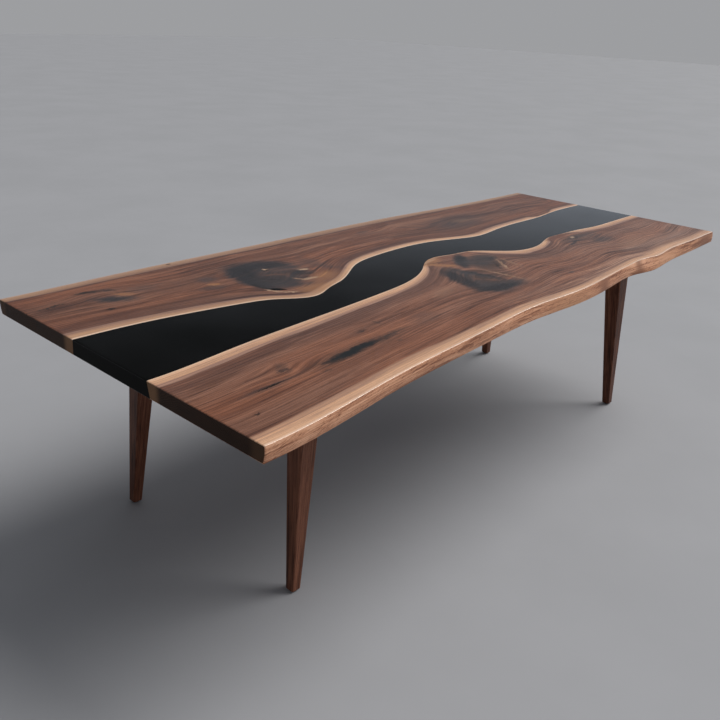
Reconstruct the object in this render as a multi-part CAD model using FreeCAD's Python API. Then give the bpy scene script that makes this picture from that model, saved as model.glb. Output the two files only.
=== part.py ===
import FreeCAD, Part
import math
import os

# Live edge dining table: two walnut slabs joined by a cast resin river, on four splayed tapered legs.
# Millimetres. X runs along the table, the slab with the waney front edge lies on the -Y side, and Z is up.
# The origin is on the floor, under the middle of the top.

# Top
TOP_LENGTH = 2700.0
TOP_WIDTH = 1225.0
TABLE_HEIGHT = 750.0
TOP_THICKNESS = 45.0
TOP_EASE = 2.0
ARRIS_STEPS = 2
LIVE_EDGE_CROWN = 3.0
CROWN_STEPS = 3

# Live edges: along the half length, then across the half width at the upper and at the lower face
FRONT_EDGE_SHARES = (
    (-1.000, -1.000, -0.992), (-0.667, -0.912, -0.905), (-0.296, -0.830, -0.827), (-0.111, -0.794, -0.802),
    (0.089, -0.806, -0.816), (0.296, -0.767, -0.776), (0.444, -0.737, -0.760), (0.511, -0.736, -0.786),
    (0.561, -0.755, -0.781), (0.637, -0.739, -0.760), (0.852, -0.729, -0.737), (1.000, -0.719, -0.722),
)
BACK_EDGE_SHARES = (
    (-1.000, 0.966, 0.955), (-0.740, 0.984, 0.972), (-0.300, 0.992, 0.978), (0.000, 1.000, 0.988),
    (0.300, 0.992, 0.982), (0.590, 0.958, 0.950), (1.000, 0.946, 0.938),
)

# River banks: along the half length, then across the half width, at the upper face
BACK_BANK_SHARES = (
    (-1.000, 0.267), (-0.852, 0.257), (-0.728, 0.223), (-0.605, 0.174), (-0.543, 0.133), (-0.481, 0.051),
    (-0.457, 0.035), (-0.432, 0.040), (-0.383, 0.089), (-0.327, 0.130), (-0.259, 0.211), (-0.185, 0.309),
    (-0.111, 0.353), (0.000, 0.378), (0.096, 0.380), (0.167, 0.357), (0.265, 0.291), (0.326, 0.264),
    (0.420, 0.288), (0.543, 0.316), (0.728, 0.329), (0.821, 0.357), (1.000, 0.363),
)
FRONT_BANK_SHARES = (
    (-1.000, -0.300), (-0.790, -0.249), (-0.543, -0.197), (-0.309, -0.148), (-0.185, -0.102),
    (-0.136, -0.064), (-0.074, 0.011), (-0.024, 0.084), (0.031, 0.112), (0.093, 0.086), (0.161, 0.064),
    (0.216, -0.024), (0.278, -0.118), (0.333, -0.140), (0.407, -0.115), (0.476, -0.064), (0.556, -0.061),
    (0.642, -0.069), (0.741, -0.096), (0.852, -0.096), (1.000, -0.092),
)
BACK_BANK_LEAN = 3.0
FRONT_BANK_LEAN = -10.0

# Resin fills in two cracks and an open knot: both sides along the length and across the width of each
FILL_DEPTH = 14.0
FILL_FAR_SIDE_SHARES = ((0.0, 0.0), (0.24, 0.40), (0.52, 0.50), (1.0, 0.0))
FILL_NEAR_SIDE_SHARES = ((1.0, 0.0), (0.66, -0.30), (0.30, -0.50), (0.0, 0.0))
LONG_CRACK_START_SHARES = (-0.724, -0.627)
LONG_CRACK_LENGTH = 290.0
LONG_CRACK_WIDTH = 42.0
LONG_CRACK_TURN = 4.5
SHORT_CRACK_START_SHARES = (-0.894, -0.658)
SHORT_CRACK_LENGTH = 116.0
SHORT_CRACK_WIDTH = 9.0
SHORT_CRACK_TURN = 4.0
KNOT_HOLE_START_SHARES = (-0.501, 0.271)
KNOT_HOLE_LENGTH = 62.0
KNOT_HOLE_WIDTH = 22.0
KNOT_HOLE_TURN = -46.0

# Legs
LEG_TOP_SIDE = 76.0
LEG_FOOT_SIDE = 32.0
LEG_SPLAY_LENGTHWISE = 69.0
LEG_SPLAY_CROSSWISE = 29.0
LEG_SET_OFFSET = -27.0
FRONT_LEG_END_INSET = 404.0
FRONT_LEG_EDGE_INSET = 324.0
BACK_LEG_END_INSET = 329.0
BACK_LEG_EDGE_INSET = 183.0
LEG_EDGE_RADIUS = 5.0

# Foot glides and their pins
GLIDE_THICKNESS = 4.0
GLIDE_EASE = 1.0
PIN_DIAMETER = 3.0
PIN_LENGTH = 18.0
PIN_HEAD_DIAMETER = 7.0
PIN_HEAD_HEIGHT = 1.5
PIN_HEAD_RECESS = 0.8

# Bolts and threaded inserts in the underside
BOLT_DIAMETER = 8.0
BOLT_HEAD_DIAMETER = 14.0
BOLT_HEAD_HEIGHT = 4.4
BOLT_CROWN_DIAMETER = 8.0
BOLT_SOCKET_FLATS = 5.0
BOLT_SOCKET_DEPTH = 2.6
BOLT_HOLE_CLEARANCE = 0.5
INSERT_DIAMETER = 12.0
INSERT_LENGTH = 18.0
INSERT_COLLAR_DIAMETER = 15.0
INSERT_COLLAR_HEIGHT = 1.5
INSERT_RUN_OUT = 3.0
WASHER_DIAMETER = 18.0
WASHER_THICKNESS = 1.6

# Leg plates, let in flush with the underside, and the screws that hold them to the legs
PLATE_THICKNESS = 6.0
PLATE_CORNER_RADIUS = 12.0
PLATE_RIM = 5.0
PLATE_HEAD_CLEARANCE = 2.0
PLATE_POCKET_CLEARANCE = 0.5
LEG_SCREW_DIAMETER = 6.0
LEG_SCREW_HEAD_DIAMETER = 12.0
LEG_SCREW_LENGTH = 70.0
LEG_SCREW_TIP_LENGTH = 7.0
LEG_SCREW_EDGE_DISTANCE = 16.0

# Steel channels across the river, let in flush with the underside
CHANNEL_PLATE_GAP = 140.0
CHANNEL_EDGE_INSET = 200.0
CHANNEL_OFFSET = 55.0
CHANNEL_WIDTH = 60.0
CHANNEL_DEPTH = 16.0
CHANNEL_WALL = 4.0
CHANNEL_BEND_RADIUS = 3.0
CHANNEL_GROOVE_CLEARANCE = 0.5
CHANNEL_END_CLEARANCE = 3.0
CHANNEL_SLOT_LENGTH = 22.0
CHANNEL_BOLT_END_DISTANCE = 40.0
CHANNEL_BOLT_PITCH = 95.0

# Cuts run past the faces that they open by this much, and edges are told apart to this much
OVERRUN = 20.0
SAME_PLANE = 0.01

# Worked out from the sizes above
HALF_LENGTH = TOP_LENGTH / 2
HALF_WIDTH = TOP_WIDTH / 2
UNDERSIDE = TABLE_HEIGHT - TOP_THICKNESS
PLATE_BOLT_OFFSET = LEG_TOP_SIDE / 2 + PLATE_HEAD_CLEARANCE + BOLT_HEAD_DIAMETER / 2
PLATE_SIDE = 2 * (PLATE_BOLT_OFFSET + BOLT_HEAD_DIAMETER / 2 + PLATE_RIM)
PLATE_TOP = UNDERSIDE + PLATE_THICKNESS
LEG_SCREW_OFFSET = LEG_TOP_SIDE / 2 - LEG_SCREW_EDGE_DISTANCE
LEG_SCREW_HEAD_HEIGHT = (LEG_SCREW_HEAD_DIAMETER - LEG_SCREW_DIAMETER) / 2
GLIDE_DIAMETER = LEG_FOOT_SIDE - 2 * LEG_EDGE_RADIUS
BOLT_HOLE_RADIUS = BOLT_DIAMETER / 2 + BOLT_HOLE_CLEARANCE
CHANNEL_LENGTH = TOP_WIDTH - 2 * CHANNEL_EDGE_INSET
CHANNEL_BED = UNDERSIDE + CHANNEL_WALL
CORNERS = {"front_left": (-1, -1), "front_right": (1, -1), "back_left": (-1, 1), "back_right": (1, 1)}
CHANNELS = {"left": -1, "middle": 0, "right": 1}
ORIGIN = FreeCAD.Vector(0, 0, 0)
Z_AXIS = FreeCAD.Vector(0, 0, 1)
FULL_TURN = 360


def point(x, y, z):
    """A point of the shared frame."""
    return FreeCAD.Vector(x, y, z)


def moved(shape, x, y, z):
    """A copy of the shape, shifted by the given steps."""
    copy = shape.copy()
    copy.translate(point(x, y, z))
    return copy


def centred_box(size_x, size_y, bottom, top):
    """A box centred on the Z axis."""
    return Part.makeBox(size_x, size_y, top - bottom, point(-size_x / 2, -size_y / 2, bottom))


def upright_cylinder(radius, bottom, top):
    """A cylinder on the Z axis."""
    return Part.makeCylinder(radius, top - bottom, point(0, 0, bottom))


def turned(corners):
    """A solid of revolution about Z from the (radius, height) corners of its half section."""
    outline = Part.makePolygon([point(radius, 0, height) for radius, height in corners + corners[:1]])
    return Part.Face(outline).revolve(ORIGIN, Z_AXIS, FULL_TURN)


def spline(points):
    """A smooth edge through the given points."""
    curve = Part.BSplineCurve()
    curve.interpolate(points)
    return curve.toShape()


def strip_outline(front, back):
    """A closed outline between two smooth long edges, with straight ends."""
    right_end = Part.makeLine(front[-1], back[-1])
    left_end = Part.makeLine(back[0], front[0])
    return Part.Wire([spline(front), right_end, spline(back), left_end])


def run_out(points):
    """The same points, carried past both ends of the top."""
    step = point(OVERRUN, 0, 0)
    return [points[0] - step] + points + [points[-1] + step]


def edge_profile():
    """How far a live edge stands out at each depth: rounded arrises and a crown between the two faces."""
    rounding = [math.pi / 2 * step / ARRIS_STEPS for step in range(ARRIS_STEPS + 1)]
    upper = [(TOP_EASE * (1 - math.cos(turn)), TOP_EASE * (math.sin(turn) - 1)) for turn in rounding]
    rise = (TOP_THICKNESS / 2 - TOP_EASE) / CROWN_STEPS
    upper += [(TOP_EASE + rise * step, 0) for step in range(1, CROWN_STEPS + 1)]
    lower = [(TOP_THICKNESS - depth, ease) for depth, ease in reversed(upper[:-1])]
    profile = []
    for depth, ease in upper + lower:
        depth_share = depth / TOP_THICKNESS
        profile.append((depth, ease + 4 * LIVE_EDGE_CROWN * depth_share * (1 - depth_share)))
    return profile


def live_line(shares, depth, stand_out):
    """Points of a live edge at one depth below the upper face."""
    points = []
    for along, upper, lower in shares:
        across = upper + (lower - upper) * depth / TOP_THICKNESS
        y = across * HALF_WIDTH + math.copysign(stand_out, across)
        points.append(point(along * HALF_LENGTH, y, TABLE_HEIGHT - depth))
    return run_out(points)


def make_blank():
    """The whole top as one board: crowned live edges, square ends and rounded arrises."""
    sections = []
    for depth, stand_out in edge_profile():
        front = live_line(FRONT_EDGE_SHARES, depth, stand_out)
        back = live_line(BACK_EDGE_SHARES, depth, stand_out)
        sections.append(strip_outline(front, back))
    board = Part.makeLoft(sections, True, True)
    bounds = centred_box(TOP_LENGTH, TOP_WIDTH + 2 * OVERRUN, UNDERSIDE, TABLE_HEIGHT)
    end_arrises = [edge for edge in bounds.Edges if edge.BoundBox.YLength > TOP_WIDTH]
    return board.common(bounds.makeFillet(TOP_EASE, end_arrises))


def bank_line(shares, lean, z):
    """Points of a river bank at one height."""
    shift = lean * (TABLE_HEIGHT - z) / TOP_THICKNESS
    return run_out([point(along * HALF_LENGTH, across * HALF_WIDTH + shift, z) for along, across in shares])


def make_river_mass():
    """The space between the two banks, carried past all faces of the top."""
    sections = []
    for z in (UNDERSIDE - OVERRUN, TABLE_HEIGHT + OVERRUN):
        front = bank_line(FRONT_BANK_SHARES, FRONT_BANK_LEAN, z)
        back = bank_line(BACK_BANK_SHARES, BACK_BANK_LEAN, z)
        sections.append(strip_outline(front, back))
    return Part.makeLoft(sections, True, True)


def fill_prism(start_shares, length, width, turn, height):
    """A leaf-shaped prism that starts at a place on the top and stands on a fill's floor."""
    sides = []
    for shares in (FILL_FAR_SIDE_SHARES, FILL_NEAR_SIDE_SHARES):
        sides.append(spline([point(along * length, across * width, 0) for along, across in shares]))
    prism = Part.Face(Part.Wire(sides)).extrude(point(0, 0, height))
    prism.rotate(ORIGIN, Z_AXIS, turn)
    along, across = start_shares
    return moved(prism, along * HALF_LENGTH, across * HALF_WIDTH, TABLE_HEIGHT - FILL_DEPTH)


def foot_centre(corner):
    """Where a leg's foot stands: the back pair is wider apart than the front pair."""
    side_x, side_y = CORNERS[corner]
    end_inset, edge_inset = FRONT_LEG_END_INSET, FRONT_LEG_EDGE_INSET
    if side_y > 0:
        end_inset, edge_inset = BACK_LEG_END_INSET, BACK_LEG_EDGE_INSET
    return LEG_SET_OFFSET + side_x * (HALF_LENGTH - end_inset), side_y * (HALF_WIDTH - edge_inset)


def leg_head_centre(corner):
    """Where a leg meets the underside: the splay leans it inwards."""
    side_x, side_y = CORNERS[corner]
    x, y = foot_centre(corner)
    return x - side_x * LEG_SPLAY_LENGTHWISE, y - side_y * LEG_SPLAY_CROSSWISE


def around(centre, offset_x, offset_y):
    """Four places about a centre, mirrored across both axes."""
    x, y = centre
    return [(x + side_x * offset_x, y + side_y * offset_y) for side_x, side_y in CORNERS.values()]


def square_wire(centre, side, z):
    """A level square about a centre."""
    x, y = centre
    half = side / 2
    corners = [
        point(x - half, y - half, z),
        point(x + half, y - half, z),
        point(x + half, y + half, z),
        point(x - half, y + half, z),
    ]
    return Part.makePolygon(corners + corners[:1])


def make_leg(corner):
    """A square leg that tapers and splays down to a rounded foot, bored for its screws and its pin."""
    foot = square_wire(foot_centre(corner), LEG_FOOT_SIDE, GLIDE_THICKNESS)
    head = square_wire(leg_head_centre(corner), LEG_TOP_SIDE, UNDERSIDE)
    leg = Part.makeLoft([foot, head], True, True)
    shown = [edge for edge in leg.Edges if min(vertex.Z for vertex in edge.Vertexes) < UNDERSIDE - SAME_PLANE]
    leg = leg.makeFillet(LEG_EDGE_RADIUS, shown)
    return leg.cut(leg_screws(corner) + [glide_pin(corner)])


def make_leg_screw():
    """A countersunk wood screw that points down, its head's face at zero."""
    return turned([
        (0, 0),
        (LEG_SCREW_HEAD_DIAMETER / 2, 0),
        (LEG_SCREW_DIAMETER / 2, -LEG_SCREW_HEAD_HEIGHT),
        (LEG_SCREW_DIAMETER / 2, LEG_SCREW_TIP_LENGTH - LEG_SCREW_LENGTH),
        (0, -LEG_SCREW_LENGTH),
    ])


def leg_screws(corner):
    """The four screws through one leg plate into the leg's end grain."""
    screw = make_leg_screw()
    places = around(leg_head_centre(corner), LEG_SCREW_OFFSET, LEG_SCREW_OFFSET)
    return [moved(screw, x, y, PLATE_TOP) for x, y in places]


def rounded_square(side, radius, bottom, top):
    """A square plate about the Z axis with rounded corners."""
    plate = centred_box(side, side, bottom, top)
    uprights = [edge for edge in plate.Edges if edge.BoundBox.ZLength > SAME_PLANE]
    return plate.makeFillet(radius, uprights)


def make_leg_plate(corner):
    """A steel plate over one leg: bolt holes outside the leg, countersunk screw holes inside it."""
    x, y = leg_head_centre(corner)
    plate = moved(rounded_square(PLATE_SIDE, PLATE_CORNER_RADIUS, 0, PLATE_THICKNESS), x, y, UNDERSIDE)
    hole = upright_cylinder(BOLT_HOLE_RADIUS, UNDERSIDE - OVERRUN, PLATE_TOP + OVERRUN)
    holes = [moved(hole, hole_x, hole_y, 0) for hole_x, hole_y in plate_bolt_places(corner)]
    return plate.cut(holes + leg_screws(corner))


def plate_bolt_places(corner):
    """Where one leg plate is bolted up."""
    return around(leg_head_centre(corner), PLATE_BOLT_OFFSET, PLATE_BOLT_OFFSET)


def plate_pocket(corner):
    """The shallow pocket that takes one leg plate."""
    x, y = leg_head_centre(corner)
    side = PLATE_SIDE + 2 * PLATE_POCKET_CLEARANCE
    radius = PLATE_CORNER_RADIUS + PLATE_POCKET_CLEARANCE
    return moved(rounded_square(side, radius, -OVERRUN, PLATE_THICKNESS), x, y, UNDERSIDE)


def make_bolt(grip):
    """A button head socket bolt that clamps the given grip: head below zero, shank upwards."""
    crown_radius = BOLT_CROWN_DIAMETER / 2
    head_radius = BOLT_HEAD_DIAMETER / 2
    bolt = turned([
        (0, -BOLT_HEAD_HEIGHT),
        (crown_radius, -BOLT_HEAD_HEIGHT),
        ((crown_radius + 2 * head_radius) / 3, -BOLT_HEAD_HEIGHT * 2 / 3),
        (head_radius, 0),
        (BOLT_DIAMETER / 2, 0),
        (BOLT_DIAMETER / 2, grip + INSERT_LENGTH),
        (0, grip + INSERT_LENGTH),
    ])
    socket_radius = BOLT_SOCKET_FLATS / math.sqrt(3)
    turns = [math.tau * corner / 6 for corner in range(7)]
    hexagon = Part.makePolygon(
        [point(socket_radius * math.cos(a), socket_radius * math.sin(a), -BOLT_HEAD_HEIGHT) for a in turns])
    return bolt.cut(Part.Face(hexagon).extrude(point(0, 0, BOLT_SOCKET_DEPTH)))


def make_insert():
    """A threaded insert: a collared bush whose mouth is at zero."""
    return insert_bore(INSERT_LENGTH).cut(upright_cylinder(BOLT_DIAMETER / 2, -OVERRUN, INSERT_LENGTH + OVERRUN))


def insert_bore(depth):
    """The stepped outside of an insert, to the given depth."""
    collar = upright_cylinder(INSERT_COLLAR_DIAMETER / 2, 0, INSERT_COLLAR_HEIGHT)
    return upright_cylinder(INSERT_DIAMETER / 2, 0, depth).fuse(collar).removeSplitter()


def make_washer():
    """A plain washer whose upper face is at zero."""
    disc = upright_cylinder(WASHER_DIAMETER / 2, -WASHER_THICKNESS, 0)
    return disc.cut(upright_cylinder(BOLT_HOLE_RADIUS, -OVERRUN, OVERRUN))


def channel_centre(name):
    """The middle of a channel: the outer two keep clear of the front pair's leg plates."""
    left, _ = leg_head_centre("front_left")
    right, _ = leg_head_centre("front_right")
    reach = (right - left - PLATE_SIDE - CHANNEL_WIDTH) / 2 - CHANNEL_PLATE_GAP
    return (left + right) / 2 + CHANNELS[name] * reach, CHANNEL_OFFSET


def channel_bolt_places(name):
    """Where one channel is bolted up: two bolts in each slab."""
    outer = CHANNEL_LENGTH / 2 - CHANNEL_BOLT_END_DISTANCE
    x, y = channel_centre(name)
    return [(x, y + offset) for offset in (-outer, CHANNEL_BOLT_PITCH - outer, outer - CHANNEL_BOLT_PITCH, outer)]


def make_channel(name):
    """A steel channel, flanges up, with a slot at each bolt so that the slabs can move across the grain."""
    section = centred_box(CHANNEL_WIDTH, CHANNEL_LENGTH, 0, CHANNEL_DEPTH)
    bends = [edge for edge in section.Edges
             if edge.BoundBox.YLength > CHANNEL_WIDTH and edge.BoundBox.ZMax < CHANNEL_WALL]
    section = section.makeFillet(CHANNEL_BEND_RADIUS, bends)
    inside = centred_box(CHANNEL_WIDTH - 2 * CHANNEL_WALL, CHANNEL_LENGTH + OVERRUN, CHANNEL_WALL,
                         CHANNEL_DEPTH + OVERRUN)
    channel = moved(section.cut(inside), *channel_centre(name), UNDERSIDE)
    straight = CHANNEL_SLOT_LENGTH - 2 * BOLT_HOLE_RADIUS
    end = upright_cylinder(BOLT_HOLE_RADIUS, -OVERRUN, OVERRUN)
    slot = centred_box(2 * BOLT_HOLE_RADIUS, straight, -OVERRUN, OVERRUN)
    slot = slot.fuse([moved(end, 0, -straight / 2, 0), moved(end, 0, straight / 2, 0)])
    return channel.cut([moved(slot, x, y, UNDERSIDE) for x, y in channel_bolt_places(name)])


def channel_grooves(name):
    """The bed for one channel's web and the two deeper grooves for its flanges."""
    length = CHANNEL_LENGTH + 2 * CHANNEL_END_CLEARANCE
    bed = centred_box(CHANNEL_WIDTH + 2 * CHANNEL_GROOVE_CLEARANCE, length, -OVERRUN, CHANNEL_WALL)
    groove = centred_box(CHANNEL_WALL + 2 * CHANNEL_GROOVE_CLEARANCE, length, -OVERRUN,
                         CHANNEL_DEPTH + CHANNEL_GROOVE_CLEARANCE)
    flange = (CHANNEL_WIDTH - CHANNEL_WALL) / 2
    cuts = [bed, moved(groove, -flange, 0, 0), moved(groove, flange, 0, 0)]
    return [moved(cut, *channel_centre(name), UNDERSIDE) for cut in cuts]


def glide_pin(corner):
    """The nail that holds a glide to the foot, its head sunk in the glide."""
    head_top = PIN_HEAD_RECESS + PIN_HEAD_HEIGHT
    pin = turned([
        (0, PIN_HEAD_RECESS),
        (PIN_HEAD_DIAMETER / 2, PIN_HEAD_RECESS),
        (PIN_HEAD_DIAMETER / 2, head_top),
        (PIN_DIAMETER / 2, head_top),
        (PIN_DIAMETER / 2, PIN_LENGTH - PIN_DIAMETER),
        (0, PIN_LENGTH),
    ])
    return moved(pin, *foot_centre(corner), 0)


def make_glide(corner):
    """A round glide under a foot, eased where it meets the floor."""
    disc = upright_cylinder(GLIDE_DIAMETER / 2, 0, GLIDE_THICKNESS)
    rim = [edge for edge in disc.Edges if edge.BoundBox.ZMax < GLIDE_THICKNESS / 2]
    disc = disc.makeFillet(GLIDE_EASE, rim)
    disc = disc.cut(upright_cylinder(PIN_HEAD_DIAMETER / 2, -OVERRUN, PIN_HEAD_RECESS))
    return moved(disc, *foot_centre(corner), 0).cut(glide_pin(corner))


def make_top():
    """The two slabs, the river between them and the fills, let in for all the hardware below."""
    fills = {
        "long_crack_fill": (LONG_CRACK_START_SHARES, LONG_CRACK_LENGTH, LONG_CRACK_WIDTH, LONG_CRACK_TURN),
        "short_crack_fill": (SHORT_CRACK_START_SHARES, SHORT_CRACK_LENGTH, SHORT_CRACK_WIDTH, SHORT_CRACK_TURN),
        "knot_fill": (KNOT_HOLE_START_SHARES, KNOT_HOLE_LENGTH, KNOT_HOLE_WIDTH, KNOT_HOLE_TURN),
    }
    cuts = [fill_prism(*fill, FILL_DEPTH + OVERRUN) for fill in fills.values()]
    bore = insert_bore(INSERT_LENGTH + INSERT_RUN_OUT)
    for corner in CORNERS:
        cuts.append(plate_pocket(corner))
        cuts += [moved(bore, x, y, PLATE_TOP) for x, y in plate_bolt_places(corner)]
    for name in CHANNELS:
        cuts += channel_grooves(name)
        cuts += [moved(bore, x, y, CHANNEL_BED) for x, y in channel_bolt_places(name)]
    blank = make_blank()
    river_mass = make_river_mass()
    front, back = sorted(blank.cut(river_mass).Solids, key=lambda slab: slab.CenterOfMass.y)
    pieces = {
        "back_slab": back.cut(cuts),
        "front_slab": front.cut(cuts),
        "resin_river": blank.common(river_mass).cut(cuts),
    }
    for name, fill in fills.items():
        pieces[name] = fill_prism(*fill, FILL_DEPTH)
    return pieces


def make_hardware():
    """The bolts, washers, inserts, screws and pins: one group of separate solids for each kind."""
    bolt = make_bolt(PLATE_THICKNESS)
    channel_bolt = make_bolt(WASHER_THICKNESS + CHANNEL_WALL)
    insert = make_insert()
    washer = make_washer()
    plate_places = [place for corner in CORNERS for place in plate_bolt_places(corner)]
    channel_places = [place for name in CHANNELS for place in channel_bolt_places(name)]
    groups = {
        "plate_bolts": [moved(bolt, x, y, UNDERSIDE) for x, y in plate_places],
        "plate_inserts": [moved(insert, x, y, PLATE_TOP) for x, y in plate_places],
        "leg_screws": [screw for corner in CORNERS for screw in leg_screws(corner)],
        "channel_bolts": [moved(channel_bolt, x, y, UNDERSIDE - WASHER_THICKNESS) for x, y in channel_places],
        "channel_washers": [moved(washer, x, y, UNDERSIDE) for x, y in channel_places],
        "channel_inserts": [moved(insert, x, y, CHANNEL_BED) for x, y in channel_places],
        "glide_pins": [glide_pin(corner) for corner in CORNERS],
    }
    return {name: Part.makeCompound(solids) for name, solids in groups.items()}


def main():
    """Build every piece and write one file for each."""
    pieces = make_top()
    for corner in CORNERS:
        pieces["leg_" + corner] = make_leg(corner)
        pieces["leg_plate_" + corner] = make_leg_plate(corner)
        pieces["foot_glide_" + corner] = make_glide(corner)
    for name in CHANNELS:
        pieces["channel_" + name] = make_channel(name)
    pieces.update(make_hardware())
    os.makedirs("parts", exist_ok=True)
    for name, shape in pieces.items():
        shape.exportStep("parts/" + name + ".step")
        print(name, len(shape.Solids), "solids", round(shape.Volume), "mm3", "valid", shape.isValid())


main()
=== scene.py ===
"""Looks of the live edge dining table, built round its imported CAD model.

Metres, in the model's own frame: X runs along the table, the slab with the waney front edge lies on the -Y
side, and Z is up. The two slabs and the river are rebuilt as fine meshes from edges that are measured on the
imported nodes, and the bolts and washers by Geometry Nodes. All other nodes stay and get their finishes here.
"""

import logging
import math
from dataclasses import dataclass, field
from enum import Enum
from functools import cache
from typing import Iterable, Optional, Sequence, Union

import bmesh
import bpy
import numpy as np
from mathutils import Matrix, Vector
from mathutils.bvhtree import BVHTree


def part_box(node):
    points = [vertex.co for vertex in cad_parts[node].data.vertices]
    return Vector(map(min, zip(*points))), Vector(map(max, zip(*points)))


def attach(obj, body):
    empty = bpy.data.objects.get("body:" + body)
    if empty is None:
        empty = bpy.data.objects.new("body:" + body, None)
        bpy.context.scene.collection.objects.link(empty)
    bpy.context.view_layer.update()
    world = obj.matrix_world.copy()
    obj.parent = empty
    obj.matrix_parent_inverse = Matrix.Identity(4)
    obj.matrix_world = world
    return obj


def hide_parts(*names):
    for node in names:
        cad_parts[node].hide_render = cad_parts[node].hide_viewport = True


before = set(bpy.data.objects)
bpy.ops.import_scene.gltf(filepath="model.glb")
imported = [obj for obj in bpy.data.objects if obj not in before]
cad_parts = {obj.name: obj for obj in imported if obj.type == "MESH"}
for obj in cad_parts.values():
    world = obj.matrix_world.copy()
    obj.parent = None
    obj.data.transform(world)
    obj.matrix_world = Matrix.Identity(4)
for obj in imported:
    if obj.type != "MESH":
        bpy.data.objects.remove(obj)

LOG = logging.getLogger("dining_table")
ROOT = "root"
CORNERS = ("front_left", "front_right", "back_left", "back_right")
PLATES = tuple("leg_plate_" + corner for corner in CORNERS)
CHANNELS = ("channel_left", "channel_middle", "channel_right")

MM = 1000.0  # in a metre
PERCENT = 100.0  # in a whole
MIDDLE = 0.5  # about which every noise lies
RING_UNIT = math.tau / 20.0  # the scale at which a Wave texture repeats once for each unit
MIX_FIRST, MIX_SECOND, MIX_COLOUR = 6, 7, 2  # a Mix node's colour sockets
TOP_SHARP, BOLT_SHARP = 40.0, 30.0  # degrees past which an edge is shaded sharp
CRISP_LENGTH, CRISP_WIDTH = 0.035, 0.006  # half sizes below which the grain doesn't fray a mark's rim
WHITE = (1.0, 1.0, 1.0)

Colour = Point = tuple[float, float, float]
Place = tuple[float, float]
Mesh, Object, Material = bpy.types.Mesh, bpy.types.Object, bpy.types.Material
Node, Tree, Socket = bpy.types.Node, bpy.types.NodeTree, bpy.types.NodeSocket
Feed = Union["Wire", float, Sequence[float]]
Inputs = dict[Union[str, int], Feed]


# Node trees

class Wire:
    """What a node gives. Sums of wires become Math nodes, or Vector Math nodes where one is a vector."""

    def __init__(self, board: "Board", socket: Socket) -> None:
        """Hold an output socket of a board."""
        self.board, self.socket = board, socket

    def __add__(self, other: Feed) -> "Wire":
        """The sum."""
        return self.board.math("ADD", self, other)

    def __sub__(self, other: Feed) -> "Wire":
        """The difference."""
        return self.board.math("SUBTRACT", self, other)

    def __rsub__(self, other: Feed) -> "Wire":
        """The difference from a number."""
        return self.board.math("SUBTRACT", other, self)

    def __mul__(self, other: Feed) -> "Wire":
        """The product."""
        return self.board.math("MULTIPLY", self, other)

    def __truediv__(self, other: Feed) -> "Wire":
        """The ratio."""
        return self.board.math("DIVIDE", self, other)

    def __abs__(self) -> "Wire":
        """The amount without its sign."""
        return self.board.math("ABSOLUTE", self)

    def axis(self, name: str) -> "Wire":
        """X, Y or Z of a vector."""
        return self.board.wire(name, "ShaderNodeSeparateXYZ", {"Vector": self})


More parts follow.
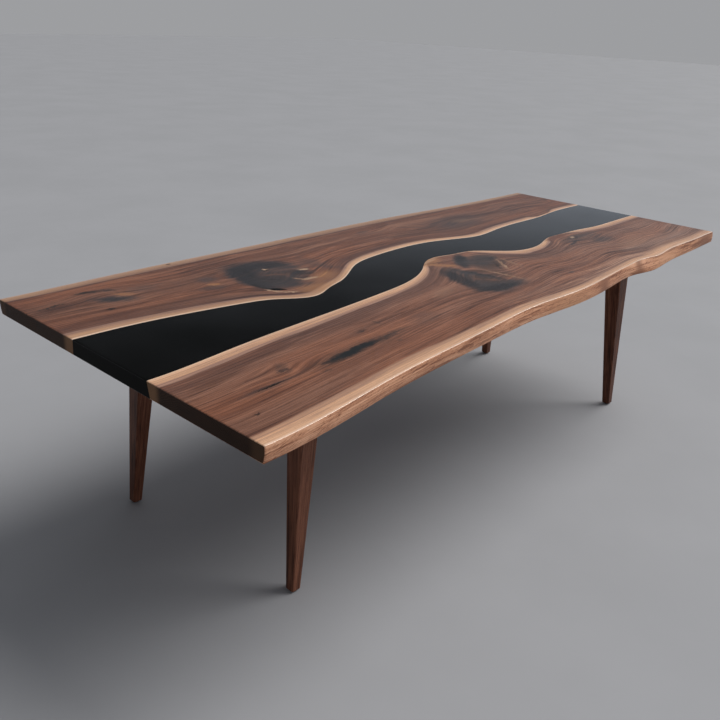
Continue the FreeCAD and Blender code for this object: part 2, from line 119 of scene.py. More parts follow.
class Board:
    """A node tree that is wired up in few words."""

    def __init__(self, tree: Tree) -> None:
        """Take over a tree and empty it."""
        self.tree = tree
        self.tree.nodes.clear()

    def node(self, kind: str, inputs: Optional[Inputs] = None, **settings: object) -> Node:
        """Add a node.

        Args:
            kind: Blender's identifier of the node.
            inputs: What its sockets get, by name or number.
            settings: Its properties.

        Returns:
            The node.
        """
        made = self.tree.nodes.new(kind)
        for name, value in settings.items():
            setattr(made, name, value)
        for name, value in (inputs or {}).items():
            self.feed(made.inputs[name], value)
        return made

    def wire(self, output: Union[str, int], kind: str, *inputs: Inputs, **settings: object) -> Wire:
        """Add a node and take one of its outputs."""
        return Wire(self, self.node(kind, *inputs, **settings).outputs[output])

    def feed(self, socket: Socket, value: Feed) -> None:
        """Link a wire to an input, or set its value.

        Args:
            socket: The input.
            value: A wire or a plain value.
        """
        if isinstance(value, Wire):
            self.tree.links.new(value.socket, socket)
        elif socket.type == "RGBA":
            socket.default_value = (*value, 1.0)
        elif socket.type == "VECTOR" and isinstance(value, float):
            socket.default_value = (value,) * 3
        else:
            socket.default_value = value

    def math(self, operation: str, *values: Feed, clamp: bool = False) -> Wire:
        """A Math node, or a Vector Math node where a value is a vector.

        Args:
            operation: Blender's name of the operation.
            values: Its inputs, in order.
            clamp: Whether a number is kept between 0 and 1.

        Returns:
            The result.
        """
        inputs = dict(enumerate(values))
        if any(isinstance(value, Wire) and value.socket.type == "VECTOR" for value in values):
            output = "Value" if operation == "LENGTH" else "Vector"
            return self.wire(output, "ShaderNodeVectorMath", inputs, operation=operation)
        return self.wire("Value", "ShaderNodeMath", inputs, operation=operation, use_clamp=clamp)

    def noise(self, where: Wire, scale: Sequence[float], detail: float = 2.0, rough: float = 0.5) -> Wire:
        """Noise that is stretched along each axis.

        Args:
            where: The coordinates.
            scale: Cycles per metre along each axis.
            detail: Octaves.
            rough: Weight of the finer octaves.

        Returns:
            A value about MIDDLE.
        """
        return self.wire("Fac", "ShaderNodeTexNoise", {
            "Vector": where * scale, "Scale": 1.0, "Detail": detail, "Roughness": rough})

    def contour(self, where: Wire, scale: Sequence[float], width: float) -> Wire:
        """Thin lines between the light and the dark of a noise, which close round its knots."""
        return self.span(abs(self.noise(where, scale, 1.0) - MIDDLE), width, 0.15 * width)

    def span(self, value: Feed, low: float, high: float, out_low: float = 0.0, out_high: float = 1.0) -> Wire:
        """A smooth step between two values.

        Args:
            value: What is mapped.
            low: Where the step starts.
            high: Where it ends; it may lie below the start.
            out_low: The result before the start.
            out_high: The result after the end.

        Returns:
            The mapped value.
        """
        inputs = {"Value": value, "From Min": low, "From Max": high, "To Min": out_low, "To Max": out_high}
        return self.wire("Result", "ShaderNodeMapRange", inputs, interpolation_type="SMOOTHSTEP")

    def mix(self, share: Feed, first: Feed, second: Feed, blend: str = "MIX") -> Wire:
        """A mix of two colours.

        Args:
            share: How much of the second shows.
            first: The first colour.
            second: The second colour.
            blend: Blender's blend mode.

        Returns:
            The mixed colour.
        """
        inputs = {0: share, MIX_FIRST: first, MIX_SECOND: second}
        return self.wire(MIX_COLOUR, "ShaderNodeMix", inputs, data_type="RGBA", blend_type=blend,
                         clamp_factor=True)

    def ramp(self, value: Wire, places: Sequence[float], colours: Sequence[Colour]) -> Wire:
        """A colour ramp.

        Args:
            value: Where on the ramp.
            places: Its stops, in order.
            colours: Their colours.

        Returns:
            The colour.
        """
        made = self.node("ShaderNodeValToRGB", {"Fac": value})
        elements = made.color_ramp.elements
        while len(elements) < len(places):
            elements.new(1.0)
        for element, place, colour in zip(elements, places, colours):
            element.position = place
            element.color = (*colour, 1.0)
        return Wire(self, made.outputs["Color"])

    def group(self, tree: Tree, **values: Feed) -> dict[str, Wire]:
        """Place a node group.

        Args:
            tree: The group.
            values: Its inputs by name, with underscores for spaces.

        Returns:
            Its outputs by name.
        """
        inputs = {name.replace("_", " "): value for name, value in values.items()}
        made = self.node("ShaderNodeGroup", node_tree=tree, inputs=inputs)
        return {socket.name: Wire(self, socket) for socket in made.outputs}

    def attribute(self, name: str, output: str = "Fac") -> Wire:
        """What the mesh holds at its vertices under a name."""
        return self.wire(output, "ShaderNodeAttribute", attribute_name=name)

    def join(self, **parts: Feed) -> Wire:
        """A vector from its X, Y and Z."""
        return self.wire("Vector", "ShaderNodeCombineXYZ", parts)


class Group(Board):
    """A node group with named sockets."""

    def __init__(self, kind: str, name: str, inputs: dict[str, str], outputs: dict[str, str]) -> None:
        """Start the group.

        Args:
            kind: Shader or Geometry.
            name: The group's name.
            inputs: Names and kinds of its inputs, such as Float.
            outputs: The same for what it gives.
        """
        super().__init__(bpy.data.node_groups.new(name, kind + "NodeTree"))
        for way, sockets in (("INPUT", inputs), ("OUTPUT", outputs)):
            for label, form in sockets.items():
                self.tree.interface.new_socket(label, in_out=way, socket_type="NodeSocket" + form)
        self.given = {socket.name: Wire(self, socket) for socket in self.node("NodeGroupInput").outputs}

    def close(self, **values: Feed) -> Tree:
        """Feed what the group gives, by name, and take the finished tree."""
        self.node("NodeGroupOutput", values)
        return self.tree


@cache
def walnut_figure() -> Tree:
    """Walnut seen along its grain.

    Returns:
        A group that gives a tone from dark to pale, the fibre, the pores and the growth rings.
    """
    board = Group("Shader", "walnut_figure", {"Figure": "Vector", "Wander": "Float", "Ring Pitch": "Float"},
                  dict.fromkeys(("Tone", "Fibre", "Pores", "Rings"), "Float"))
    figure = board.given["Figure"]
    sway = board.noise(figure, (1.4, 6.0, 6.0), 1.0) - MIDDLE
    ripple = board.noise(figure, (7.0, 30.0, 30.0), 1.0) - MIDDLE
    bent = figure + board.join(Y=(ripple * 0.22 + sway) * board.given["Wander"])
    broad = board.noise(bent, (1.0, 15.0, 15.0))
    bands = board.noise(bent, (2.2, 160.0, 160.0), 4.0, 0.74)
    fibre = board.noise(bent, (9.0, 560.0, 560.0), 2.0, 0.6)
    flecks = board.span(board.noise(bent, (26.0, 520.0, 520.0), 1.0), 0.60, 0.74)
    pores = board.span(board.noise(bent, (110.0, 2300.0, 2300.0), 1.0), 0.60, 0.74)
    waves = board.wire("Fac", "ShaderNodeTexWave", {
        "Vector": bent * (0.3, 1.0, 1.0), "Scale": board.math("DIVIDE", RING_UNIT, board.given["Ring Pitch"]),
        "Distortion": 2.6, "Detail": 2.0, "Detail Scale": 0.5,
    }, wave_type="BANDS", bands_direction="Y", wave_profile="SAW")
    rings = board.math("POWER", waves, 6.0)
    patchy = board.span(board.noise(figure, (2.2, 9.0, 9.0), 1.0), 0.38, 0.62)
    growth = board.contour(bent, (1.4, 56.0, 56.0), 0.048) * patchy
    streak = board.contour(bent, (1.9, 33.0, 29.0), 0.040)
    tone = (broad - MIDDLE) * 0.62 + 0.525 + (bands - MIDDLE) * 1.60 + (fibre - MIDDLE) * 0.55
    tone = tone - rings * 0.22 - growth * 0.30 + streak * 0.15
    tone = board.math("SUBTRACT", tone, flecks * 0.24, clamp=True)
    return board.close(Tone=tone, Fibre=fibre, Pores=pores, Rings=rings)


@cache
def wood_mark() -> Tree:
    """An oval mark on a surface, such as a knot, a stain or a check.

    Returns:
        A group that lays a tint over a colour.
    """
    board = Group("Shader", "wood_mark", {
        "Color": "Color", "Tint": "Color", **dict.fromkeys(("Place", "Centre", "Half Size"), "Vector"),
        **dict.fromkeys(("Turn", "Feather", "Strength", "Grain", "Through"), "Float")}, {"Color": "Color"})
    given = board.given
    turned = board.wire("Vector", "ShaderNodeVectorRotate", {
        "Vector": given["Place"] - given["Centre"], "Angle": given["Turn"],
    }, rotation_type="Z_AXIS", invert=True)
    grain = given["Grain"] - MIDDLE
    reach = board.math("LENGTH", turned / given["Half Size"]) + grain * 0.15
    rim = given["Feather"] + 1.0
    inside = board.math("DIVIDE", rim - reach, given["Feather"] * 2.0, clamp=True)
    show = board.math("SUBTRACT", given["Strength"], grain * given["Through"], clamp=True)
    share = board.span(inside, 0.0, 1.0) * show
    return board.close(Color=board.mix(share, given["Color"], given["Tint"]))


# Finishes

class Tint(Enum):
    """The colours of the marks in the walnut."""

    CHAR = (0.020, 0.018, 0.020)
    SLATE = (0.050, 0.042, 0.042)
    BARK = (0.085, 0.047, 0.034)
    RUSSET = (0.215, 0.095, 0.055)
    TAN = (0.330, 0.190, 0.115)
    PALE = (0.480, 0.310, 0.200)
    CHECK = (0.012, 0.010, 0.009)
    SMOKE = (0.016, 0.018, 0.019)
    UMBER = (0.170, 0.066, 0.040)
    HONEY = (0.640, 0.335, 0.190)
    GOLD = (0.440, 0.205, 0.086)


CHAR, SLATE, BARK, RUSSET, TAN, PALE, CHECK, SMOKE, UMBER, HONEY, GOLD = Tint


@dataclass(frozen=True)
class Mark:
    """A knot, stain or check on the upper face of a slab.

    Attributes:
        centre: Where it lies, in X and Y.
        half: Half of its length and width.
        tint: Its colour.
        strength: How much it covers.
        turn: Degrees that its length is turned from X.
        feather: How soft its rim is, from 0 to 1.
        through: How much of the grain shows through it.
    """

    centre: Place
    half: Place
    tint: Tint
    strength: float
    turn: float
    feather: float
    through: float = 0.30

    @property
    def is_crisp(self) -> bool:
        """Whether it is too short or too narrow for a rim that follows the grain."""
        return max(self.half) < CRISP_LENGTH or min(self.half) < CRISP_WIDTH


def marks(*rows: tuple) -> tuple[Mark, ...]:
    """Marks from the rows of a table.

    Args:
        rows: Centre and half size in mm, tint, strength in percent, turn in degrees, feather in percent and,
            where it isn't the usual one, the share of grain that shows through, in percent.

    Returns:
        The marks, in the order in which they are laid.
    """
    return tuple(
        Mark((x / MM, y / MM), (long / MM, wide / MM), tint, strength / PERCENT, turn,
             *(share / PERCENT for share in soft))
        for x, y, long, wide, tint, strength, turn, *soft in rows)


@dataclass(frozen=True)
class Patch:
    """A stretch of a live edge with another colour.

    Attributes:
        centre: Where along X it lies.
        reach: How far it goes from there.
        tint: Its colour.
    """

    centre: float
    reach: float
    tint: Tint


@dataclass(frozen=True)
class Swell:
    """A knot that pushes the grain aside.

    Attributes:
        centre: Where it lies, in X and Y.
        reach: How far it pushes along X and across Y.
        push: How hard, from 0 to 1.
        lift: How far it raises the figure, in metres, which closes the grain into rings.
    """

    centre: Place
    reach: Place
    push: float
    lift: float = 0.0


class Paint(Board):
    """A material with one Principled shader."""

    def __init__(self, name: str) -> None:
        """Start a material.

        Args:
            name: Its name.
        """
        self.material = bpy.data.materials.new(name)
        self.material.use_nodes = True
        super().__init__(self.material.node_tree)
        self.shader = self.node("ShaderNodeBsdfPrincipled")
        self.node("ShaderNodeOutputMaterial", {"Surface": Wire(self, self.shader.outputs["BSDF"])})
        self.place = self.wire("Object", "ShaderNodeTexCoord")

    def apply(self, **values: Feed) -> Material:
        """Feed the shader.

        Args:
            values: Its inputs by name, with underscores for spaces.

        Returns:
            The material.
        """
        for name, value in values.items():
            self.feed(self.shader.inputs[name.replace("_", " ")], value)
        return self.material

    def lay_marks(self, colour: Wire, figure: Wire, tone: Wire, laid: Iterable[Mark]) -> Wire:
        """Lay marks over the wood, with rims that follow the grain.

        Args:
            colour: The wood's colour.
            figure: The figure's coordinates.
            tone: The figure's tone, which shows through.
            laid: The marks.

        Returns:
            The colour with the marks.
        """
        flat = self.place * (1.0, 1.0, 0.0)
        drift = self.noise(figure, (9.0, 85.0, 85.0), 2.0, 0.6) - MIDDLE
        sweep = self.noise(self.place, (13.0, 13.0, 13.0)) - MIDDLE
        frayed = self.join(X=drift * 0.036, Y=sweep * 0.034)
        bites = {"X": (60.0, 85.0, 0.0), "Y": (85.0, 110.0, 0.0)}
        nibbled = self.join(**{axis: (self.noise(flat, scale, 2.0, 0.6) - MIDDLE) * 0.030
                               for axis, scale in bites.items()})
        crisp = flat + nibbled
        ragged = flat + frayed + nibbled * 0.7
        for mark in laid:
            place = crisp if mark.is_crisp else ragged
            colour = self.group(
                wood_mark(), Color=colour, Place=place, Centre=(*mark.centre, 0.0),
                Half_Size=(*mark.half, 1.0), Turn=math.radians(mark.turn), Feather=mark.feather,
                Tint=mark.tint.value, Strength=mark.strength, Grain=tone, Through=mark.through)["Color"]
        return colour


class SlabPaint(Paint):
    """A material that reads what a slab's mesh holds at its vertices."""

    def __init__(self, name: str) -> None:
        """Start a material.

        Args:
            name: Its name.
        """
        super().__init__(name)
        self.x = self.place.axis("X")
        self.figure = self.attribute("figure", "Vector")
        self.sap, self.outer, self.arris = (self.attribute(held) for held in ("sap", "outer", "arris"))


@dataclass(frozen=True, kw_only=True)
class Finish:
    """What every finish has.

    Attributes:
        name: The material's name.
        rough: Its roughness, before its grain varies it.
        shine: How much it reflects; 0.5 is plain plastic.
        relief: Depth of its grain, in metres.
    """

    name: str
    rough: float
    shine: float
    relief: float

    def coat(self, board: Paint, height: Wire, **values: Feed) -> Material:
        """Feed a shader and give it the finish's shine and relief.

        Args:
            board: The material's board.
            height: The relief, from 0 to 1.
            values: The shader's other inputs by name, with underscores for spaces.

        Returns:
            The material.
        """
        bump = board.wire("Normal", "ShaderNodeBump", {
            "Strength": 1.0, "Distance": self.relief, "Height": height})
        return board.apply(Specular_IOR_Level=self.shine, Normal=bump, **values)


@dataclass(frozen=True, kw_only=True)
class WoodFinish(Finish):
    """What every finish with walnut's figure has.

    Attributes:
        wander: How far the grain sways, in metres.
        ring_pitch: Distance between growth rings, in metres.
    """

    wander: float
    ring_pitch: float

    def figure(self, board: Paint, where: Wire) -> list[Wire]:
        """Place the walnut figure.

        Args:
            board: The material's board.
            where: The figure's coordinates.

        Returns:
            Its tone, fibre, pores and rings.
        """
        made = board.group(walnut_figure(), Figure=where, Wander=self.wander, Ring_Pitch=self.ring_pitch)
        return [made[name] for name in ("Tone", "Fibre", "Pores", "Rings")]


@dataclass(frozen=True, kw_only=True)
class WalnutFinish(WoodFinish):
    """Oiled walnut: dark heartwood, a purple line and pale sapwood towards the live edges.

    Attributes:
        heart: The heartwood's colours, from its dark lines to its pale streaks.
        warmth: Tints the redder runs of the heartwood.
        sap: The sapwood's colours, from the live edge inwards.
        sap_near: Tints it towards -X.
        crust: The same for the outer edge, next to the bark.
        crust_light: How light that is.
        seam: How dark the line at its inner side is.
        painted_arris_highlight: A painted highlight on the arris of the outer edge, laid into its colour.
        rim: The palest sapwood right beside the river, with a painted highlight along the bank.
        rim_share: How much of it shows.
        line: The dark line between the two, and the growth rings beside it.
        shadow: The purple-brown of the heartwood next to that line.
        light: Tints this slab's heartwood.
        far_light: Tints it as well towards +X.
        edge_light: Tints it there beside the outer edge.
        contrast: How strongly its lines stand out, at -X and at +X.
    """

    heart: tuple[Colour, ...] = (
        (0.046, 0.020, 0.014), (0.108, 0.047, 0.031), (0.186, 0.086, 0.056), (0.262, 0.130, 0.086),
        (0.350, 0.188, 0.126),
    )
    warmth: Colour = (1.18, 0.94, 0.74)
    sap: tuple[Colour, ...] = (
        (0.780, 0.462, 0.280), (0.720, 0.416, 0.244), (0.540, 0.296, 0.192), (0.390, 0.226, 0.168),
    )
    sap_near: Colour = WHITE
    crust: tuple[Colour, ...] = (
        (0.780, 0.466, 0.288), (0.730, 0.422, 0.252), (0.560, 0.314, 0.194), (0.410, 0.226, 0.148),
    )
    crust_light: float = 1.0
    seam: float = 0.0
    # The colour of the painted highlight on the outer arris.
    painted_arris_highlight: Colour = (0.960, 0.730, 0.580)
    rim: Colour = (0.970, 0.730, 0.560)
    rim_share: float = 0.42
    line: Colour = (0.062, 0.030, 0.025)
    shadow: Colour = (0.128, 0.064, 0.052)
    ring_pitch: float = 0.011
    wander: float = 0.020
    rough: float = 0.38
    shine: float = 0.30
    relief: float = 0.00012
    light: Colour = WHITE
    far_light: Colour = WHITE
    edge_light: Colour = WHITE
    contrast: Place = (1.0, 1.0)

    def material(self, laid: Iterable[Mark]) -> Material:
        """Build the finish for one slab's long faces.

        Args:
            laid: The knots and checks of the slab.

        Returns:
            The material.
        """
        board = SlabPaint(self.name)
        tone, fibre, pores, rings = self.figure(board, board.figure)
        plain = 0.52
        shade = (tone - plain) * board.span(board.x, -0.6, 0.5, *self.contrast) + plain
        heart = [np.multiply(self.light, colour) for colour in self.heart]
        colour = board.ramp(shade, (0.10, 0.32, plain, 0.72, 0.95), heart)
        warm = board.span(board.noise(board.figure, (0.9, 7.0, 7.0)), 0.38, 0.64, 0.0, 0.66)
        beside = board.span(board.sap, 4.0, 1.5) * board.span(board.x, -0.35, 0.15) * board.outer
        for share, light in ((warm, self.warmth), (board.span(board.x, -0.2, 0.8), self.far_light),
                             (beside, self.edge_light)):
            colour = board.mix(share, colour, light, "MULTIPLY")
        colour = board.mix(rings * board.span(board.sap, 5.0, 1.2, 0.0, 0.44), colour, self.line)
        colour = self._blend_sapwood(board, colour, tone)
        colour = board.lay_marks(colour, board.figure, tone, laid)
        colour = board.mix(pores * 0.42, colour, self.heart[0])
        # Painted highlight: a pale tint along the outer arris, stronger towards +X.
        colour = board.mix(board.arris * board.span(board.x, 0.6, 1.1, 0.70, 0.95), colour, self.painted_arris_highlight)
        gloss = (fibre - MIDDLE) * 0.20 + self.rough - board.arris * 0.10 + pores * 0.12
        return self.coat(board, fibre * 0.5 - pores * 0.7, Base_Color=colour, Roughness=gloss,
                         Coat_Weight=board.arris * 0.8, Coat_Roughness=0.20)

    def _blend_sapwood(self, board: SlabPaint, heart: Wire, tone: Wire) -> Wire:
        """Lay the sapwood and its dark line over the heartwood, with a painted highlight along the river
        bank.

        Args:
            board: The material's board, whose sap is the distance from the nearer live edge, as a share of
                the sapwood's width there.
            heart: The heartwood's colour.
            tone: The figure's tone.

        Returns:
            The colour of both.
        """
        sap, outer, inner = board.sap, board.outer, 1.0 - board.outer
        ragged = board.noise(board.figure, (4.0, 70.0, 70.0)) - MIDDLE
        reach = ragged * 0.45 + sap
        depth = (MIDDLE - tone) * 0.55 + reach
        pale = board.ramp(depth, (0.05, 0.45, 0.70, 1.00), self.sap)
        pale = board.mix(board.span(board.x, -0.15, -0.60), pale, self.sap_near, "MULTIPLY")
        crust = [np.multiply(self.crust_light, colour) for colour in self.crust]
        pale = board.mix(outer, pale, board.ramp(depth, (0.05, 0.50, 0.74, 1.00), crust))
        pale = board.mix(board.span(tone, 0.62, 0.22, 0.0, 0.50), pale, self.sap[-1])
        body = board.mix(board.span(reach, 2.6, 1.3, 0.0, 0.25) * inner, heart, self.shadow)
        off_line = reach - 1.32
        dark = board.math("POWER", math.e, off_line * off_line * -9.0) * (inner * 0.16)
        both = board.mix(board.span(reach, 1.12, 0.92), board.mix(dark, body, self.line), pale)
        wave = board.math("SINE", sap * 25.0 + ragged * 3.5)
        lines = board.span(wave, 0.50, 1.0) * board.span(reach, 2.8, 1.3)
        lines = lines * board.span(reach, 0.50, 1.10, 0.08, 0.58) * inner
        seam = board.span(abs(reach - 1.10), 0.15, 0.03, 0.0, self.seam) * outer
        for share in (lines, seam):
            both = board.mix(share, both, self.line)
        # Palest sapwood along the river bank, partly a painted highlight where the top meets the resin.
        return board.mix(board.span(sap, 0.24, 0.02, 0.0, self.rim_share) * inner, both, self.rim)


@dataclass(frozen=True, kw_only=True)
class LiveEdgeFinish(WoodFinish):
    """The sanded outer face of a slab, just under the bark: speckled tan with darker runs.

    Attributes:
        patches: Stretches of another colour.
        tones: Colours from the dark runs to the pale ones.
        slant: How far the flecks are turned from the edge, in radians.
    """

    patches: tuple[Patch, ...]
    tones: tuple[Colour, ...] = ((0.220, 0.088, 0.048), (0.560, 0.262, 0.148), (0.780, 0.430, 0.268))
    slant: float = 0.30
    rough: float = 0.38
    shine: float = 0.18
    relief: float = 0.00018
    wander: float = 0.012
    ring_pitch: float = 0.009

    def material(self) -> Material:
        """Build the finish.

        Returns:
            The material.
        """
        board = SlabPaint(self.name)
        walnut, fibre, *_ = self.figure(board, board.figure)
        speckle = board.noise(board.place, (170.0, 300.0, 420.0), 2.0, 0.6)
        cloud = board.noise(board.place, (5.0, 5.0, 22.0), 3.0, 0.6)
        slanted = board.wire("Vector", "ShaderNodeVectorRotate", {"Vector": board.place, "Angle": self.slant},
                             rotation_type="Y_AXIS")
        flecks = board.span(board.noise(slanted, (48.0, 48.0, 330.0)), 0.56, 0.72)
        tone = walnut + (speckle - MIDDLE) * 0.60 + (cloud - MIDDLE) * 0.75 - flecks * 0.40
        colour = board.ramp(tone, (0.15, 0.50, 0.85), self.tones)
        shown = board.span(tone, 0.1, 0.6, 0.45, 1.0)
        for patch in self.patches:
            off = abs(board.x - patch.centre) + cloud * (0.8 * patch.reach)
            share = board.span(off, 1.4 * patch.reach, 0.5 * patch.reach, 0.0, 0.66) * shown
            colour = board.mix(share, colour, patch.tint.value)
        return self.coat(board, speckle - flecks * 0.8 + fibre * 0.6, Base_Color=colour,
                         Roughness=speckle * 0.16 + self.rough)


@dataclass(frozen=True, kw_only=True)
class EndGrainFinish(Finish):
    """The sawn end of a slab: arcs of growth rings, blotches and open pores.

    Attributes:
        pith: Where the rings are centred, in Y and Z.
        tones: Colours from the late wood to the early wood.
        sap: The sapwood's colour.
        ring_pitch: Distance between rings, in metres.
    """

    pith: Place
    tones: tuple[Colour, ...] = ((0.018, 0.009, 0.005), (0.042, 0.021, 0.013), (0.072, 0.037, 0.023))
    sap: Colour = (0.300, 0.160, 0.082)
    ring_pitch: float = 0.006
    rough: float = 0.40
    shine: float = 0.08
    relief: float = 0.00015

    def material(self) -> Material:
        """Build the finish.

        Returns:
            The material.
        """
        board = SlabPaint(self.name)
        wobble = board.noise(board.place, (4.0, 14.0, 14.0)) - MIDDLE
        from_pith = (board.place - (0.0, *self.pith)) * (0.0, 1.0, 1.0)
        radius = board.math("LENGTH", from_pith) + wobble * 0.03
        phase = board.math("FRACT", radius / self.ring_pitch)
        blotch = board.noise(board.place, (3.0, 9.0, 30.0), 3.0, 0.6)
        pores = board.wire("Distance", "ShaderNodeTexVoronoi", {
            "Vector": board.place * (60.0, 900.0, 900.0), "Scale": 1.0})
        pit = board.span(pores, 0.34, 0.18)
        tone = board.math("SUBTRACT", blotch * 0.8 + 0.22, phase * 0.34, clamp=True)
        colour = board.ramp(tone, (0.1, 0.5, 0.9), self.tones)
        pale = board.span(board.sap, 1.15, 0.55, 0.0, 0.8) * (1.0 - board.outer * 0.75)
        colour = board.mix(pit * 0.6, board.mix(pale, colour, self.sap), self.tones[0])
        return self.coat(board, 1.0 - pit, Base_Color=colour, Roughness=blotch * 0.2 + self.rough)


@dataclass(frozen=True, kw_only=True)
class LegFinish(WoodFinish):
    """Straight-grained walnut whose grain runs down a leaning leg.

    Attributes:
        lean: How far the leg's axis moves in X and Y for each metre of height.
        seed: An offset that gives each leg its own figure.
        tones: Colours from the dark lines to the pale streaks.
    """

    lean: Place
    seed: float
    tones: tuple[Colour, ...] = (
        (0.040, 0.014, 0.008), (0.112, 0.039, 0.021), (0.182, 0.068, 0.037), (0.268, 0.110, 0.062),
    )
    rough: float = 0.42
    shine: float = 0.20
    relief: float = 0.00014
    wander: float = 0.012
    ring_pitch: float = 0.007

    def material(self) -> Material:
        """Build the finish.

        Returns:
            The material.
        """
        board = Paint(self.name)
        x, y, z = (board.place.axis(name) for name in "XYZ")
        upright_x, upright_y = x - z * self.lean[0], y - z * self.lean[1]
        figure = board.join(X=z + self.seed, Y=upright_y * 0.45 + upright_x, Z=upright_y)
        tone, fibre, pores, _ = self.figure(board, figure)
        colour = board.ramp(tone, (0.12, 0.38, 0.60, 0.90), self.tones)
        colour = board.mix(pores * 0.45, colour, self.tones[0])
        return self.coat(board, fibre * 0.5 - pores * 0.7, Base_Color=colour,
                         Roughness=pores * 0.15 + self.rough)


@dataclass(frozen=True, kw_only=True)
class CoatedFinish(Finish):
    """A plain finish with a fine grain: cast resin, powder coat, plating, brass or nylon.

    Attributes:
        colours: The colour and its cloudy variation.
        rough_spread: How much rougher it gets.
        metal: 1 for bare metal.
        cloud: Cycles per metre of the cloudy variation.
        grain: Cycles per metre of the grain.
    """

    colours: tuple[Colour, Colour]
    rough_spread: float
    metal: float = 0.0
    cloud: float = 9.0
    grain: float = 900.0
    relief: float = 0.00002
    shine: float = 0.5

    def material(self) -> Material:
        """Build the finish.

        Returns:
            The material.
        """
        board = Paint(self.name)
        cloud = board.noise(board.place, (self.cloud,) * 3, 3.0, 0.6)
        grain = board.noise(board.place, (self.grain,) * 3, 1.0)
        return self.coat(board, grain, Base_Color=board.mix(board.span(cloud, 0.3, 0.7), *self.colours),
                         Roughness=cloud * self.rough_spread + self.rough, Metallic=self.metal)


@dataclass(frozen=True, kw_only=True)
class CrackFinish(WoodFinish):
    """Smoky resin in a crack, thin at its rim, where the wood shows through.

    Attributes:
        core: The thick resin, as a mark on the wood.
        wood: The wood under the thin resin, from dark to pale.
    """

    core: Mark
    wood: tuple[Colour, Colour] = ((0.070, 0.036, 0.027), (0.205, 0.096, 0.062))
    rough: float = 0.32
    shine: float = 0.20
    relief: float = 0.00004
    wander: float = 0.020
    ring_pitch: float = 0.011

    def material(self) -> Material:
        """Build the finish.

        Returns:
            The material.
        """
        board = Paint(self.name)
        tone, fibre, *_ = self.figure(board, board.place)
        colour = board.lay_marks(board.ramp(tone, (0.25, 0.75), self.wood), board.place, tone, (self.core,))
        return self.coat(board, fibre, Base_Color=colour, Roughness=fibre * 0.15 + self.rough)


# Meshes

def new_object(name: str, data: bpy.types.ID) -> Object:
    """Link a mesh, lamp or camera to the scene as an object at the origin.

    Args:
        name: The object's name.
        data: What it shows.

    Returns:
        The object.
    """
    made = bpy.data.objects.new(name, data)
    bpy.context.scene.collection.objects.link(made)
    return made


def make_plain(obj: Object) -> None:
    """Turn an object with modifiers into one with a plain mesh.

    Args:
        obj: The object.
    """
    graph = bpy.context.evaluated_depsgraph_get()
    mesh = bpy.data.meshes.new_from_object(obj.evaluated_get(graph))
    obj.modifiers.clear()
    obj.data = mesh


def smooth_over(mesh: Mesh, degrees: float) -> None:
    """Shade a mesh smooth, but for edges sharper than an angle."""
    mesh.polygons.foreach_set("use_smooth", np.ones(len(mesh.polygons), dtype=bool))
    mesh.set_sharp_from_angle(angle=math.radians(degrees))


def vertex_array(mesh: Mesh) -> np.ndarray:
    """All vertices of a mesh.

    Args:
        mesh: The mesh.

    Returns:
        One row for each vertex.
    """
    flat = np.empty(3 * len(mesh.vertices))
    mesh.vertices.foreach_get("co", flat)
    return flat.reshape(-1, 3)


def box_middle(corners: np.ndarray) -> np.ndarray:
    """The middle of the box round some points."""
    return (corners.min(axis=0) + corners.max(axis=0)) / 2


def settle(piece: Object, slot: str, *nodes: str) -> None:
    """Let a finished piece stand for CAD nodes on the table's body.

    Args:
        piece: The piece.
        slot: The record's material slot, which is not used.
        nodes: The nodes that it stands for.
    """
    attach(piece, ROOT)
    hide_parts(*nodes)
    LOG.info("%s: %d faces, stands for %s", piece.name, len(piece.data.polygons), ", ".join(nodes))


def dress(material: Material, *nodes: str) -> None:
    """Give CAD nodes that stay their finish.

    Args:
        material: The finish.
        nodes: The nodes.
    """
    for node in nodes:
        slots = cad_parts[node].data.materials
        slots.clear()
        slots.append(material)
        LOG.info("%s: finished as %s", node, material.name)


def node_centres(node: str, apart: float) -> list[Vector]:
    """Where the separate solids of a group of fasteners stand.

    Args:
        node: The group's node.
        apart: More than a fastener's width and less than the distance between two.

    Returns:
        The middle of each fastener's box, at the box's lowest height.
    """
    left = vertex_array(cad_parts[node].data)
    centres = []
    while len(left):
        near = np.hypot(*(left[:, :2] - left[0, :2]).T) < apart
        centres.append(Vector((*box_middle(left[near])[:2], left[near, 2].min())))
        left = left[~near]
    return centres


def to_mesh(body: bmesh.types.BMesh, name: str) -> Mesh:
    """Turn a closed body's faces outwards and keep it as a mesh.

    Args:
        body: The body, which is freed.
        name: The mesh's name.

    Returns:
        The mesh.
    """
    bmesh.ops.recalc_face_normals(body, faces=body.faces)
    mesh = bpy.data.meshes.new(name)
    body.to_mesh(mesh)
    body.free()
    return mesh


def loft(rings: Iterable[Iterable[Sequence[float]]]) -> Mesh:
    """A closed body through rings of points, with flat ends.

    Args:
        rings: The rings, each with as many points.

    Returns:
        The mesh.
    """
    body = bmesh.new()
    made = [[body.verts.new(point) for point in ring] for ring in rings]
    for lower, upper in zip(made, made[1:]):
        for index in range(len(lower)):
            body.faces.new((lower[index - 1], lower[index], upper[index], upper[index - 1]))
    body.faces.new(made[0])
    body.faces.new(made[-1])
    return to_mesh(body, "cutter")


def cut(piece: Object, cutters: Iterable[Mesh]) -> None:
    """Cut separate closed meshes out of a piece.

    Args:
        piece: The piece.
        cutters: The meshes, which don't meet each other.
    """
    body = bmesh.new()
    for mesh in cutters:
        body.from_mesh(mesh)
    tool = new_object("cutters", to_mesh(body, "cutters"))
    modifier = piece.modifiers.new("cut", "BOOLEAN")
    modifier.operation = "DIFFERENCE"
    modifier.solver = "EXACT"
    modifier.object = tool
    make_plain(piece)
    bpy.data.objects.remove(tool)


